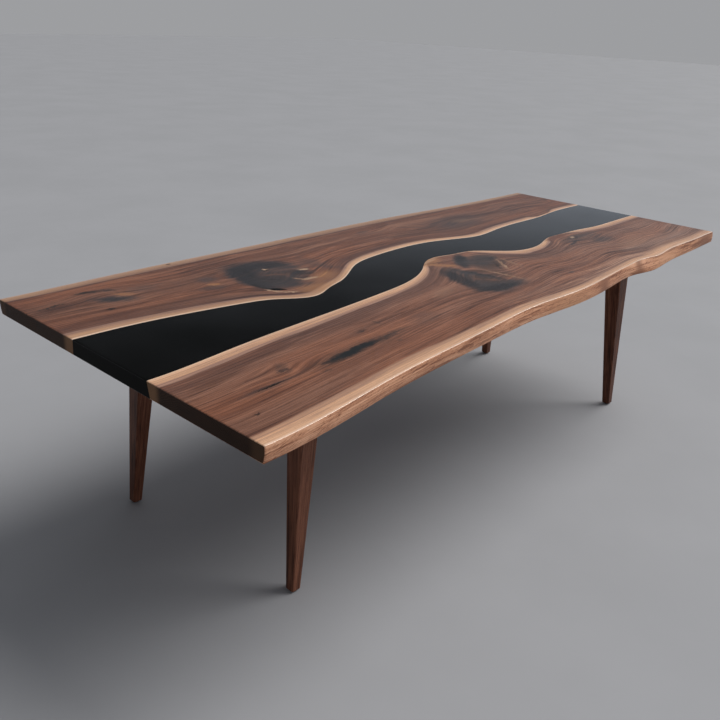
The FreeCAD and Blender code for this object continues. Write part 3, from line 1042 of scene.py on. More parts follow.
def blurred(values: np.ndarray, width: float) -> np.ndarray:
    """Values smoothed by a bell curve, with straight runs past both ends.

    Args:
        values: Evenly spaced values.
        width: The bell's width in steps.

    Returns:
        The smoothed values.
    """
    reach = int(4 * width)
    steps = np.arange(1, reach + 1)
    before = values[0] - (values[1] - values[0]) * steps[::-1]
    after = values[-1] + (values[-1] - values[-2]) * steps
    bell = np.exp(-0.5 * (np.arange(-reach, reach + 1) / width) ** 2)
    return np.convolve(np.concatenate((before, values, after)), bell / bell.sum(), mode="valid")


# The top

class Zone(Enum):
    """The finishes on a piece of the top, by material index."""

    FACE = 0
    LIVE_EDGE = 1
    END = 2


@dataclass
class TopShape:
    """The sizes of the top that its three pieces share.

    Attributes:
        ease: Radius of the rounded arrises.
        pitch: Distance between stations along X.
        arris_steps: Facets of each arris.
        crown_steps: Rows down the live edge between the arrises.
        low: Lowest corner of the front slab's box.
        high: Highest corner of that box.
        thickness: How thick the top is.
        stations: Where along X the sides are measured.
        sections: X of every cross section, those of the ends' arrises as well.
        drawn: How far the arris has drawn in each cross section.
        depths: How deep each row down the sides lies.
        insets: How far the arris has drawn in each row.
    """

    ease: float = 0.002
    pitch: float = 0.006
    arris_steps: int = 4
    crown_steps: int = 6
    low: Vector = field(init=False)
    high: Vector = field(init=False)
    thickness: float = field(init=False)
    stations: np.ndarray = field(init=False)
    sections: np.ndarray = field(init=False)
    drawn: np.ndarray = field(init=False)
    depths: np.ndarray = field(init=False)
    insets: np.ndarray = field(init=False)

    def __post_init__(self) -> None:
        """Lay out the cross sections along the top and the rows down its sides."""
        self.low, self.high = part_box("front_slab")
        self.thickness = self.high.z - self.low.z
        reach = self.high.x - self.ease
        self.stations = np.linspace(-reach, reach, round(2 * reach / self.pitch) + 1)
        turns = np.linspace(0.0, math.pi / 2, self.arris_steps + 1)
        out, down = self.ease * np.sin(turns), self.ease * (1.0 - np.cos(turns))
        self.sections = np.concatenate((-reach - out[:0:-1], self.stations, reach + out[1:]))
        self.drawn = np.concatenate((down[:0:-1], np.zeros(len(self.stations)), down[1:]))
        crown = np.linspace(self.ease, self.thickness - self.ease, self.crown_steps + 1)[1:-1]
        self.depths = np.concatenate((down, crown, self.thickness - down[::-1]))
        self.insets = np.concatenate((self.ease - out, np.zeros(len(crown)), self.ease - out[::-1]))


@dataclass
class Plank:
    """A board between two wandering sides, as a mesh of cross sections with gridded ends.

    Attributes:
        name: The piece's name.
        shape: The sizes of the top.
        near: Y of the first side, one row for each station and one column for each depth.
        far: Y of the other side.
        columns: Faces across the board.
        near_is_live: Whether the near side is a live edge, which is drawn in at the ends.
        arris_rows: Faces of a live edge at either arris that look like the upper face.
    """

    name: str
    shape: TopShape
    near: np.ndarray
    far: np.ndarray
    columns: int
    near_is_live: bool
    arris_rows: int = 2

    def build(self) -> Object:
        """Make the mesh.

        Returns:
            The object, its faces sorted by zone.
        """
        points = self._grid()
        columns, rows = self.columns, points.shape[2] - 1
        used = np.zeros(points.shape[:3], dtype=bool)
        used[[0, -1]] = used[:, [0, -1]] = used[:, :, [0, -1]] = True
        number = np.cumsum(used).reshape(used.shape) - 1
        ring = [(i, 0) for i in range(columns)] + [(columns, j) for j in range(rows)]
        ring += [(i, rows) for i in range(columns, 0, -1)] + [(0, j) for j in range(rows, 0, -1)]
        across, down = np.array(ring).T
        rings = number[:, across, down]
        faces = [self._quads(np.concatenate((rings, rings[:, :1]), axis=1))]
        faces += [self._quads(number[end]) for end in (0, -1)]
        zones = np.full(rings.shape[1], Zone.FACE.value)
        if self.near_is_live:
            zones[2 * columns + rows + self.arris_rows:-self.arris_rows] = Zone.LIVE_EDGE.value
        ends = np.full(2 * columns * rows, Zone.END.value)
        mesh = bpy.data.meshes.new("shell")
        mesh.from_pydata(points[used].tolist(), [], np.concatenate(faces).tolist())
        zones = np.concatenate((np.tile(zones, len(rings) - 1), ends))
        mesh.polygons.foreach_set("material_index", zones.astype(np.int32))
        body = bmesh.new()
        body.from_mesh(mesh)
        return new_object(self.name, to_mesh(body, self.name))

    def _grid(self) -> np.ndarray:
        """Points of a full grid in every cross section.

        Returns:
            Points by section, column and row.
        """
        shape = self.shape
        ends = ((shape.arris_steps, shape.arris_steps), (0, 0))
        near, far = (np.pad(side, ends, "edge") for side in (self.near, self.far))
        if self.near_is_live:
            near = near + np.sign(far - near) * shape.drawn[:, None]
        middle = (shape.low.z + shape.high.z) / 2
        squeeze = 1.0 - shape.drawn / (shape.thickness / 2)
        share = np.arange(self.columns + 1) / self.columns
        points = np.empty((len(shape.sections), len(share), len(shape.depths), 3))
        points[..., 0] = shape.sections[:, None, None]
        points[..., 1] = near[:, None] + (far - near)[:, None] * share[:, None]
        points[..., 2] = (middle + (shape.high.z - shape.depths - middle) * squeeze[:, None])[:, None]
        return points

    @staticmethod
    def _quads(grid: np.ndarray) -> np.ndarray:
        """Faces between the neighbours in a grid of vertex numbers."""
        return np.stack((grid[:-1, :-1], grid[:-1, 1:], grid[1:, 1:], grid[1:, :-1]), axis=-1).reshape(-1, 4)


@dataclass
class UndersideCuts:
    """What is cut out of the top, to take the plates, the channels, the inserts and the fills.

    Attributes:
        clearance: Play round the plates and the channels' flanges.
        end_clearance: Play at the channels' ends.
        plate_corner: Radius of a plate's corners.
        corner_steps: Facets of such a corner.
        wall: Thickness of the channels' steel.
        overrun: How far the cutters run out of the top.
        collar: Radius and height of an insert's collar.
        bush: Radius and depth of an insert's bore.
        mouth: How far the bore runs out into the pocket.
        bore_sides: Facets round the bore.
        apart: More than an insert's width and less than the distance between two.
        weld: How near the corners of a node's loose triangles lie to each other.
    """

    clearance: float = 0.0005
    end_clearance: float = 0.003
    plate_corner: float = 0.012
    corner_steps: int = 6
    wall: float = 0.004
    overrun: float = 0.010
    collar: Place = (0.0075, 0.0015)
    bush: Place = (0.006, 0.021)
    mouth: float = 0.001
    bore_sides: int = 24
    apart: float = 0.02
    weld: float = 1e-6

    def pockets(self) -> list[Mesh]:
        """Cutters for the plates and the channels."""
        return ([self._plate_pocket(*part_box(node)) for node in PLATES]
                + [self._channel_grooves(*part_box(node)) for node in CHANNELS])

    def _plate_pocket(self, low: Vector, high: Vector) -> Mesh:
        """The pocket for one plate.

        Args:
            low: The plate's lowest corner.
            high: The plate's highest corner.

        Returns:
            The cutter.
        """
        middle, quarter = (low + high) / 2, math.tau / 4
        radius = self.plate_corner + self.clearance
        inner = ((high.x - low.x) / 2 + self.clearance - radius) * math.sqrt(2.0)
        outline = []
        for corner in range(4):
            for step in range(self.corner_steps + 1):
                turn, aim = quarter * (corner + step / self.corner_steps), quarter * (corner + 0.5)
                outline.append((middle.x + inner * math.cos(aim) + radius * math.cos(turn),
                                middle.y + inner * math.sin(aim) + radius * math.sin(turn)))
        return loft([(x, y, z) for x, y in outline] for z in (low.z - self.overrun, high.z))

    def _channel_grooves(self, low: Vector, high: Vector) -> Mesh:
        """The bed of one channel and the grooves for its flanges.

        Args:
            low: The channel's lowest corner.
            high: The channel's highest corner.

        Returns:
            The cutter.
        """
        left, right = low.x - self.clearance, high.x + self.clearance
        inner_left, inner_right = (low.x + self.wall + self.clearance, high.x - self.wall - self.clearance)
        bed, roof, mouth = low.z + self.wall, high.z + self.clearance, low.z - self.overrun
        outline = ((left, mouth), (left, roof), (inner_left, roof), (inner_left, bed), (inner_right, bed),
                   (inner_right, roof), (right, roof), (right, mouth))
        ends = (low.y - self.end_clearance, high.y + self.end_clearance)
        return loft([(x, y, z) for x, z in outline] for y in ends)

    def bores(self) -> list[Mesh]:
        """Stepped cutters for the inserts, which start in the pockets' floors.

        Returns:
            One mesh for each.
        """
        (collar, step), (bush, depth) = self.collar, self.bush
        profile = ((collar, -self.mouth), (collar, step), (bush, step), (bush, depth))
        turns = [math.tau * side / self.bore_sides for side in range(self.bore_sides)]
        rings = [[Vector((radius * math.cos(turn), radius * math.sin(turn), height)) for turn in turns]
                 for radius, height in profile]
        return [loft([centre + point for point in ring] for ring in rings)
                for node in ("plate_inserts", "channel_inserts") for centre in node_centres(node, self.apart)]

    def fill_pocket(self, node: str) -> Mesh:
        """The pocket of a resin fill: its own solid, run out of the upper face.

        Args:
            node: The fill's node.

        Returns:
            The cutter.
        """
        low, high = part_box(node)
        body = bmesh.new()
        body.from_mesh(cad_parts[node].data)
        bmesh.ops.remove_doubles(body, verts=body.verts, dist=self.weld)
        for vertex in body.verts:
            if vertex.co.z > (low.z + high.z) / 2:
                vertex.co.z += self.overrun
        mesh = to_mesh(body, "fill_cutter")
        mesh.attributes.remove(mesh.attributes["custom_normal"])
        return mesh


@dataclass
class Slab:
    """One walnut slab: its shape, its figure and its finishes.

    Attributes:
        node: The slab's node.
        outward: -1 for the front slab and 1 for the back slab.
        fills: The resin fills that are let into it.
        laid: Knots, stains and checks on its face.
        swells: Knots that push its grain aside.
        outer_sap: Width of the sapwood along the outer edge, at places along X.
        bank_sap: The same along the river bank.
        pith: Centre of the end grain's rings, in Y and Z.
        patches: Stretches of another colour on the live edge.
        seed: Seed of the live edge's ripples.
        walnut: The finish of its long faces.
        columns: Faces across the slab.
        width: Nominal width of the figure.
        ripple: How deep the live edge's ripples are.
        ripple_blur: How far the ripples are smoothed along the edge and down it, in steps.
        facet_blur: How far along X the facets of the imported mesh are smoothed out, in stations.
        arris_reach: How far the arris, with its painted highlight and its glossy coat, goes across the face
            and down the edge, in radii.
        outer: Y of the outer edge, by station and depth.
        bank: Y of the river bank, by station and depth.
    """

    node: str
    outward: int
    fills: tuple[str, ...]
    laid: tuple[Mark, ...]
    swells: tuple[Swell, ...]
    outer_sap: tuple[Place, ...]
    bank_sap: tuple[Place, ...]
    pith: Place
    patches: tuple[Patch, ...]
    seed: int
    walnut: WalnutFinish
    columns: int = 64
    width: float = 0.45
    ripple: float = 0.0012
    ripple_blur: Place = (5.0, 1.5)
    facet_blur: float = 2.0
    arris_reach: Place = (1.5, 1.2)
    outer: np.ndarray = field(init=False)
    bank: np.ndarray = field(init=False)

    def measure(self, shape: TopShape) -> None:
        """Find the slab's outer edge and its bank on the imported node.

        Args:
            shape: The sizes of the top.
        """
        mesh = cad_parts[self.node].data
        tree = BVHTree.FromPolygons([vertex.co for vertex in mesh.vertices],
                                    [tuple(face.vertices) for face in mesh.polygons])
        clear = np.clip(shape.depths, shape.ease, shape.thickness - shape.ease)
        outer = np.array([self._side(tree, shape, depth, -self.outward) for depth in clear]).T
        self.outer = outer - self.outward * (shape.insets + self._ripples(shape))
        shallow, deep = shape.ease, shape.thickness / 2
        upper, lower = (self._side(tree, shape, depth, self.outward) for depth in (shallow, deep))
        lean = (lower - upper) / (deep - shallow)
        self.bank = upper[:, None] + lean[:, None] * (shape.depths - shallow)

    def _side(self, tree: BVHTree, shape: TopShape, depth: float, towards: int) -> np.ndarray:
        """The first face that a ray across the table meets at each station.

        Args:
            tree: The node's faces.
            shape: The sizes of the top.
            depth: How far below the upper face the rays run.
            towards: 1 for rays along +Y, -1 for rays along -Y.

        Returns:
            Y at each station, smoothed.
        """
        ahead, z = Vector((0.0, towards, 0.0)), shape.high.z - depth
        met = [tree.ray_cast(Vector((x, -towards, z)), ahead)[0].y for x in shape.stations]
        return blurred(np.array(met), self.facet_blur)

    def _ripples(self, shape: TopShape) -> np.ndarray:
        """Shallow hollows in the live edge, which the bark has left.

        Args:
            shape: The sizes of the top.

        Returns:
            How far each point lies in.
        """
        rough = np.random.default_rng(self.seed).standard_normal((len(shape.stations), len(shape.depths)))
        for axis, width in enumerate(self.ripple_blur):
            rough = np.apply_along_axis(blurred, axis, rough, width)
        return self.ripple * (rough - rough.min()) / (rough.max() - rough.min())

    def build(self, shape: TopShape, cuts: UndersideCuts) -> None:
        """Make the slab's mesh, finish it, let in the hardware and write its figure.

        Args:
            shape: The sizes of the top.
            cuts: What is cut out of it.
        """
        piece = Plank("walnut_" + self.node, shape, self.outer, self.bank, self.columns, True).build()
        finishes = {
            Zone.FACE: self.walnut.material(self.laid),
            Zone.LIVE_EDGE: LiveEdgeFinish(name=self.node + "_live_edge", patches=self.patches).material(),
            Zone.END: EndGrainFinish(name=self.node + "_end_grain", pith=self.pith).material(),
        }
        for zone in Zone:
            piece.data.materials.append(finishes[zone])
        cut(piece, cuts.pockets() + [cuts.fill_pocket(node) for node in self.fills])
        cut(piece, cuts.bores())
        smooth_over(piece.data, TOP_SHARP)
        self._write_figure(piece.data, shape)
        settle(piece, "walnut_slab", self.node)

    def _write_figure(self, mesh: Mesh, shape: TopShape) -> None:
        """Store the grain's coordinates, the sapwood's reach and the arris at every vertex.

        Args:
            mesh: The slab's mesh.
            shape: The sizes of the top.
        """
        x, y, z = vertex_array(mesh).T
        outer = np.interp(x, shape.stations, self.outer[:, shape.arris_steps])
        bank = np.interp(x, shape.stations, self.bank[:, 0])
        scale = self.width / (bank - outer)
        across = np.clip((y - outer) * scale, 0.0, self.width)
        for swell in self.swells:
            off_x, off_y = x - swell.centre[0], y - swell.centre[1]
            bell = np.exp(-((off_x / swell.reach[0]) ** 2 + (off_y / swell.reach[1]) ** 2))
            across += bell * (swell.lift - swell.push * off_y * scale)
        figure = np.stack((x, across + self.seed, shape.high.z - z), axis=1)
        vectors = mesh.attributes.new("figure", "FLOAT_VECTOR", "POINT")
        vectors.data.foreach_set("vector", figure.astype(np.float32).ravel())
        outer_reach = np.abs(y - outer) / np.interp(x, *zip(*self.outer_sap))
        bank_reach = np.abs(y - bank) / np.interp(x, *zip(*self.bank_sap))
        along_face, down_edge = np.multiply(self.arris_reach, shape.ease)
        arris = (np.abs(y - outer) < along_face) & (z > shape.high.z - down_edge)
        held = {"sap": np.minimum(outer_reach, bank_reach), "arris": arris, "outer": outer_reach < bank_reach}
        for name, given in held.items():
            values = mesh.attributes.new(name, "FLOAT", "POINT")
            values.data.foreach_set("value", given.astype(np.float32))


BACK_MARKS = marks(
    (-545, 85, 65, 42, GOLD, 50, -15, 60), (-440, 150, 70, 42, GOLD, 42, 20, 65, 140),
    (-560, 310, 140, 120, SLATE, 88, -20, 26, 90), (-640, 230, 60, 100, SLATE, 80, 15, 45, 100),
    (-545, 392, 125, 52, CHAR, 82, -20, 36, 110), (-638, 345, 52, 72, CHAR, 86, -10, 36, 80),
    (-668, 235, 30, 85, CHAR, 85, 8, 45), (-475, 245, 48, 26, CHAR, 72, -30, 55),
    (-580, 200, 85, 60, SLATE, 86, -40, 45, 80), (-585, 255, 50, 50, BARK, 34, -30, 50, 120),
    (-570, 240, 95, 85, CHAR, 42, -30, 45, 80), (-560, 270, 40, 7, RUSSET, 45, -35, 60),
    (-600, 235, 36, 6, CHECK, 60, -48, 60), (-553, 329, 16, 9, CHECK, 85, -30, 50),
    (-548, 337, 11, 6, PALE, 95, -30, 45), (-443, 258, 21, 8, PALE, 92, -28, 45),
    (-470, 215, 30, 10, CHECK, 60, -20, 60), (-500, 150, 50, 14, RUSSET, 60, -10, 60),
    (-527, 184, 22, 6, TAN, 90, -68, 45), (-491, 167, 33, 7, PALE, 85, -3, 45),
    (-620, 330, 10, 60, CHECK, 55, -12, 60), (-520, 385, 60, 8, CHECK, 55, -26, 60),
    (-684, 209, 26, 7, CHECK, 90, -83, 45), (-675, 174, 20, 7, CHECK, 90, -67, 45),
    (-674, 140, 30, 5.2, PALE, 80, -60, 45), (-643, 102, 26, 5.2, PALE, 85, -39, 45),
    (-365, 300, 40, 66, SLATE, 46, 0, 65), (-345, 225, 10, 60, SLATE, 40, 30, 65),
    (-758, 302, 40, 20, RUSSET, 50, -20, 55), (-1130, 350, 42, 20, RUSSET, 50, -30, 55),
    (-1126, 485, 38, 11, CHECK, 90, -12, 55), (-1068, 468, 26, 11, CHAR, 80, -28, 55),
    (-1092, 380, 64, 26, SLATE, 80, -36, 55), (-1106, 390, 38, 14, CHAR, 72, -38, 55),
    (-1048, 404, 28, 13, GOLD, 50, -35, 55), (-1076, 440, 22, 8, RUSSET, 60, -30, 55),
    (-1149, 311, 12, 7, CHECK, 80, -20, 50), (-765, 588, 7, 5, CHECK, 85, 0, 50),
    (-1262, 447, 48, 11, RUSSET, 60, 10, 55), (-1272, 431, 46, 4.8, CHECK, 95, 10, 50),
    (-985, 415, 50, 28, SLATE, 30, 0, 70), (-781, 311, 22, 12, GOLD, 60, -30, 50),
    (-805, 285, 45, 18, SLATE, 50, -15, 60), (-769, 364, 34, 30, SLATE, 58, -20, 65),
    (100, 490, 32, 16, SLATE, 50, 0, 60), (315, 430, 62, 6, SLATE, 60, -38, 60),
    (330, 462, 60, 10, TAN, 28, -38, 60), (570, 380, 150, 72, SLATE, 48, 0, 75),
    (540, 330, 120, 50, SLATE, 30, 0, 75), (600, 372, 48, 26, TAN, 25, 0, 60),
)
FRONT_MARKS = marks(
    (-835, -372, 180, 26, BARK, 60, 4, 60), (-700, -358, 90, 9, SMOKE, 75, 6, 60),
    (-500, -320, 60, 30, SLATE, 35, 10, 65), (-1150, -400, 90, 12, SLATE, 45, 3, 70),
    (-1060, -338, 18, 30, BARK, 60, -20, 60), (-1072, -348, 22, 7, CHAR, 65, 10, 50),
    (-720, -286, 18, 7, CHAR, 65, 10, 55), (-637, -262, 3.5, 24, BARK, 65, 8, 50),
    (-1268, -491, 5, 4, CHECK, 80, 0, 50), (-985, -420, 12, 7, BARK, 55, 0, 50),
    (-690, -400, 10, 6, BARK, 55, 0, 50), (10, -8, 60, 36, UMBER, 70, -35, 50, 80),
    (-26, 36, 60, 22, GOLD, 78, 14, 50, 120), (-20, -12, 58, 17, GOLD, 62, -52, 50, 140),
    (-30, 30, 45, 5, RUSSET, 65, 8, 55), (-5, 14, 50, 5, BARK, 60, -12, 55),
    (5, -22, 45, 4.8, RUSSET, 60, -38, 55), (-18, 44, 45, 6, PALE, 85, 14, 55),
    (-260, -210, 60, 22, TAN, 30, 20, 70), (-60, -205, 82, 135, SLATE, 92, 0, 30, 80),
    (-45, -290, 112, 42, SLATE, 92, -10, 36), (-105, -160, 34, 118, CHAR, 84, -20, 42, 30),
    (-70, -300, 98, 26, CHAR, 82, -14, 46, 30), (-15, -140, 20, 90, SLATE, 90, 16, 45),
    (-30, -225, 58, 30, BARK, 62, -56, 60), (-22, -236, 20, 7, RUSSET, 55, -50, 55),
    (-55, -195, 16, 6, RUSSET, 45, -60, 55), (4, -190, 6, 70, CHECK, 65, 14, 55),
    (62, -180, 50, 80, BARK, 66, 10, 45, 80), (62, -214, 5.5, 86, TAN, 82, 9, 45),
    (140, -92, 92, 70, BARK, 90, 40, 34, 60), (155, -60, 85, 45, SLATE, 66, 25, 50, 90),
    (80, -30, 80, 31, SLATE, 95, 46, 35), (100, -5, 55, 20, CHAR, 85, 40, 45),
    (40, -70, 30, 16, CHAR, 65, 50, 55), (172, -140, 74, 5.5, TAN, 80, 55, 50),
    (152, -172, 12, 5, PALE, 85, 50, 50), (140, -150, 50, 7, CHECK, 60, 55, 55),
    (198, -186, 8, 54, RUSSET, 75, -10, 50), (216, -150, 5, 60, TAN, 55, -14, 55),
    (205, -75, 30, 12, CHAR, 60, 20, 60), (280, -363, 16, 9, SLATE, 50, 0, 60),
    (690, -52, 85, 20, UMBER, 85, 4, 45), (770, -112, 120, 36, SLATE, 74, 0, 60),
    (744, -100, 26, 17, CHAR, 70, 15, 45), (742, -98, 15, 9, PALE, 85, 15, 50),
    (675, -150, 52, 7, CHAR, 85, 6, 55), (820, -200, 60, 40, SLATE, 55, -10, 65),
    (880, -300, 100, 40, TAN, 22, 10, 70),
)
CRACKS = marks((-840, -373, 120, 15.5, SMOKE, 100, 4.5, 40), (-1149, -399, 54, 4, CHECK, 100, 4, 40))
BACK_SWELLS = (
    Swell((-0.560, 0.290), (0.180, 0.150), 0.74, 0.055), Swell((-1.100, 0.410), (0.110, 0.085), 0.70, 0.012),
    Swell((-0.785, 0.315), (0.060, 0.040), 0.65, 0.006), Swell((0.580, 0.380), (0.190, 0.085), 0.68, 0.036),
    Swell((0.320, 0.440), (0.100, 0.070), 0.70, 0.034), Swell((1.020, 0.420), (0.130, 0.090), 0.40, 0.036),
    Swell((1.230, 0.360), (0.120, 0.080), 0.30, -0.032), Swell((0.100, 0.490), (0.060, 0.035), 0.60),
)
FRONT_SWELLS = (
    Swell((-0.045, -0.200), (0.150, 0.140), 0.76, 0.045), Swell((0.150, -0.120), (0.125, 0.110), 0.72, 0.040),
    Swell((-1.065, -0.340), (0.080, 0.045), 0.65, 0.006), Swell((-0.850, -0.370), (0.200, 0.040), 0.55),
    Swell((0.760, -0.130), (0.150, 0.085), 0.70, 0.014), Swell((0.880, -0.290), (0.170, 0.080), 0.55, 0.050),
    Swell((1.160, -0.260), (0.140, 0.110), 0.30, 0.040), Swell((-0.720, -0.286), (0.050, 0.025), 0.60),
)
FRONT = Slab(
    "front_slab", -1, ("long_crack_fill", "short_crack_fill"), FRONT_MARKS, FRONT_SWELLS,
    outer_sap=((-1.35, 0.050), (-0.75, 0.046), (-0.30, 0.038), (0.20, 0.028), (0.70, 0.030), (0.76, 0.048),
               (1.00, 0.042), (1.35, 0.037)),
    bank_sap=((-1.35, 0.050), (-0.70, 0.046), (-0.30, 0.040), (-0.10, 0.030), (-0.03, 0.006), (0.20, 0.006),
              (0.26, 0.048), (0.36, 0.054), (0.42, 0.036), (0.60, 0.030), (0.65, 0.006), (0.80, 0.006),
              (0.86, 0.038), (1.35, 0.040)),
    pith=(-0.33, 0.56),
    patches=(Patch(0.06, 0.20, HONEY), Patch(0.85, 0.22, HONEY), Patch(0.30, 0.07, UMBER),
             Patch(0.62, 0.05, UMBER), Patch(1.26, 0.16, UMBER)),
    seed=3,
    walnut=WalnutFinish(name="front_slab_walnut", light=(1.18, 1.17, 1.15), far_light=(1.10, 1.17, 1.22),
                        edge_light=(1.18, 1.42, 1.62), contrast=(0.76, 1.12)))
BACK = Slab(
    "back_slab", 1, ("knot_fill",), BACK_MARKS, BACK_SWELLS,
    outer_sap=((-1.35, 0.040), (-0.90, 0.046), (0.00, 0.050), (0.60, 0.044), (1.35, 0.036)),
    bank_sap=((-1.35, 0.050), (-0.90, 0.045), (-0.65, 0.040), (-0.50, 0.032), (-0.30, 0.034), (-0.20, 0.036),
              (0.90, 0.034), (0.96, 0.010), (1.08, 0.010), (1.15, 0.030), (1.35, 0.030)),
    pith=(0.36, 0.58),
    patches=(Patch(-0.60, 0.20, UMBER), Patch(0.10, 0.25, HONEY), Patch(0.80, 0.25, UMBER)),
    seed=8,
    # The back slab's painted arris highlight is darker, as its outer edge faces away from the light.
    walnut=WalnutFinish(name="back_slab_walnut", light=(1.01, 0.92, 0.83), sap_near=(0.74, 0.72, 0.70),
                        crust_light=0.56, seam=0.62, painted_arris_highlight=(0.52, 0.36, 0.27), rim_share=0.85,
                        contrast=(1.18, 1.18)))
RESIN = CoatedFinish(
    name="black_cast_resin", colours=((0.0028, 0.0029, 0.0028), (0.0042, 0.0043, 0.0042)), rough=0.15,
    rough_spread=0.09, cloud=4.0, grain=420.0, relief=0.000008, shine=0.17)
SAWN_RESIN = CoatedFinish(
    name="sawn_cast_resin", colours=((0.0040, 0.0040, 0.0038), (0.0070, 0.0070, 0.0066)), rough=0.52,
    rough_spread=0.16, cloud=40.0, shine=0.05)
NYLON = CoatedFinish(
    name="dark_nylon", colours=((0.030, 0.026, 0.023), (0.045, 0.040, 0.035)), rough=0.45, rough_spread=0.12)
POWDER_COAT = CoatedFinish(
    name="black_powder_coat", colours=((0.020, 0.020, 0.021), (0.032, 0.032, 0.034)), rough=0.42,
    rough_spread=0.16, cloud=14.0, grain=650.0, relief=0.00006)
BRASS = CoatedFinish(
    name="insert_brass", colours=((0.60, 0.42, 0.18), (0.74, 0.54, 0.26)), rough=0.26, rough_spread=0.18,
    metal=1.0, cloud=60.0)
ZINC = CoatedFinish(
    name="zinc_plate", colours=((0.54, 0.55, 0.56), (0.66, 0.67, 0.68)), rough=0.28, rough_spread=0.22,
    metal=1.0, cloud=40.0)


@dataclass
class TableTop:
    """The top: two slabs, the river between them and the resin fills.

    Attributes:
        shape: The sizes that the pieces share.
        cuts: What is cut out of them.
        river_columns: Faces across the river.
    """

    shape: TopShape = field(default_factory=TopShape)
    cuts: UndersideCuts = field(default_factory=UndersideCuts)
    river_columns: int = 30

    def build(self) -> None:
        """Make and finish every piece of the top."""
        for slab in (FRONT, BACK):
            slab.measure(self.shape)
            slab.build(self.shape, self.cuts)
        resin, sawn = RESIN.material(), SAWN_RESIN.material()
        river = Plank("cast_river", self.shape, FRONT.bank, BACK.bank, self.river_columns, False).build()
        for zone in Zone:
            river.data.materials.append(sawn if zone is Zone.END else resin)
        cut(river, self.cuts.pockets())
        smooth_over(river.data, TOP_SHARP)
        settle(river, "black_resin", "resin_river")
        dress(resin, *BACK.fills)
        for node, core in zip(FRONT.fills, CRACKS):
            dress(CrackFinish(name=node + "_resin", core=core).material(), node)


# Legs and hardware

@dataclass
class LegSet:
    """The four legs with their glides and pins.

    Attributes:
        seeds: Each leg's place in the figure.
        foot_reach: How far up from its lowest point a leg's foot is measured.
        head_reach: How far down from its highest point its head is measured.
    """

    seeds: tuple[float, ...] = (0.0, 3.1, 7.7, 12.4)
    foot_reach: float = 0.02
    head_reach: float = 0.0005

    def finish(self, zinc: Material) -> None:
        """Finish the legs, the glides and the pins.

        Args:
            zinc: The pins' finish.
        """
        nylon = NYLON.material()
        for corner, seed in zip(CORNERS, self.seeds):
            node = "leg_" + corner
            dress(LegFinish(name=node + "_walnut", lean=self._lean(node), seed=seed).material(), node)
            dress(nylon, "foot_glide_" + corner)
        dress(zinc, "glide_pins")

    def _lean(self, node: str) -> Place:
        """How far a leg's axis moves for each metre of height.

        Args:
            node: The leg's node.

        Returns:
            The lean along X and along Y.
        """
        corners = vertex_array(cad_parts[node].data)
        z = corners[:, 2]
        foot = box_middle(corners[z < z.min() + self.foot_reach])
        head = box_middle(corners[z > z.max() - self.head_reach])
        x, y, _ = (head - foot) / (head - foot)[2]
        return float(x), float(y)


class FastenerTree(Group):
    """A Geometry Nodes tree that sets one fastener at every vertex of a mesh."""

    def __init__(self, name: str, *sizes: str) -> None:
        """Start the tree with named inputs for its sizes."""
        inputs = {"Places": "Geometry", **dict.fromkeys(sizes, "Float"), "Finish": "Material"}
        super().__init__("Geometry", name, inputs, {"Fasteners": "Geometry"})

    def cone(self, sides: int, lower: Feed, upper: Feed, depth: Feed, base: Feed) -> Wire:
        """A cone or cylinder about Z.

        Args:
            sides: Faces round it.
            lower: Radius at its base.
            upper: Radius at its other end.
            depth: Its height.
            base: Where its base lies.

        Returns:
            The mesh.
        """
        made = self.wire("Mesh", "GeometryNodeMeshCone", {
            "Vertices": sides, "Radius Bottom": lower, "Radius Top": upper, "Depth": depth}, fill_type="NGON")
        return self.wire("Geometry", "GeometryNodeTransform", {
            "Geometry": made, "Translation": self.join(Z=base)})

    def union(self, *meshes: Wire) -> Wire:
        """Several meshes as one.

        Args:
            meshes: The meshes.

        Returns:
            The mesh.
        """
        made = self.node("GeometryNodeMeshBoolean", operation="UNION", solver="EXACT")
        for mesh in meshes:
            self.feed(made.inputs["Mesh 2"], mesh)
        return Wire(self, made.outputs["Mesh"])

    def set_out(self, solid: Wire, hole: Wire) -> None:
        """Set the fastener at every place, as plain mesh with its finish.

        Args:
            solid: One fastener.
            hole: What is cut out of it.
        """
        one = self.wire("Mesh", "GeometryNodeMeshBoolean", {"Mesh 1": solid, "Mesh 2": hole},
                        operation="DIFFERENCE", solver="EXACT")
        spread = self.wire("Instances", "GeometryNodeInstanceOnPoints", {
            "Points": self.given["Places"], "Instance": one})
        real = self.wire("Geometry", "GeometryNodeRealizeInstances", {"Geometry": spread})
        self.close(Fasteners=self.wire("Geometry", "GeometryNodeSetMaterial", {
            "Geometry": real, "Material": self.given["Finish"]}))

    def place(self, node: str, places: Sequence[Vector], sizes: dict[str, float], finish: Material) -> None:
        """Run the tree on a list of places and let the result stand for a node.

        Args:
            node: The node.
            places: Where the fasteners go.
            sizes: The tree's inputs by name.
            finish: Their material.
        """
        name = "zinc_" + node
        mesh = bpy.data.meshes.new(name)
        mesh.from_pydata([tuple(place) for place in places], [], [])
        piece = new_object(name, mesh)
        modifier = piece.modifiers.new(name, "NODES")
        modifier.node_group = self.tree
        sockets = {item.name: item.identifier for item in self.tree.interface.items_tree
                   if item.in_out == "INPUT"}
        for label, value in {**sizes, "Finish": finish}.items():
            modifier[sockets[label]] = value
        make_plain(piece)
        smooth_over(piece.data, BOLT_SHARP)
        settle(piece, "zinc_steel", node)


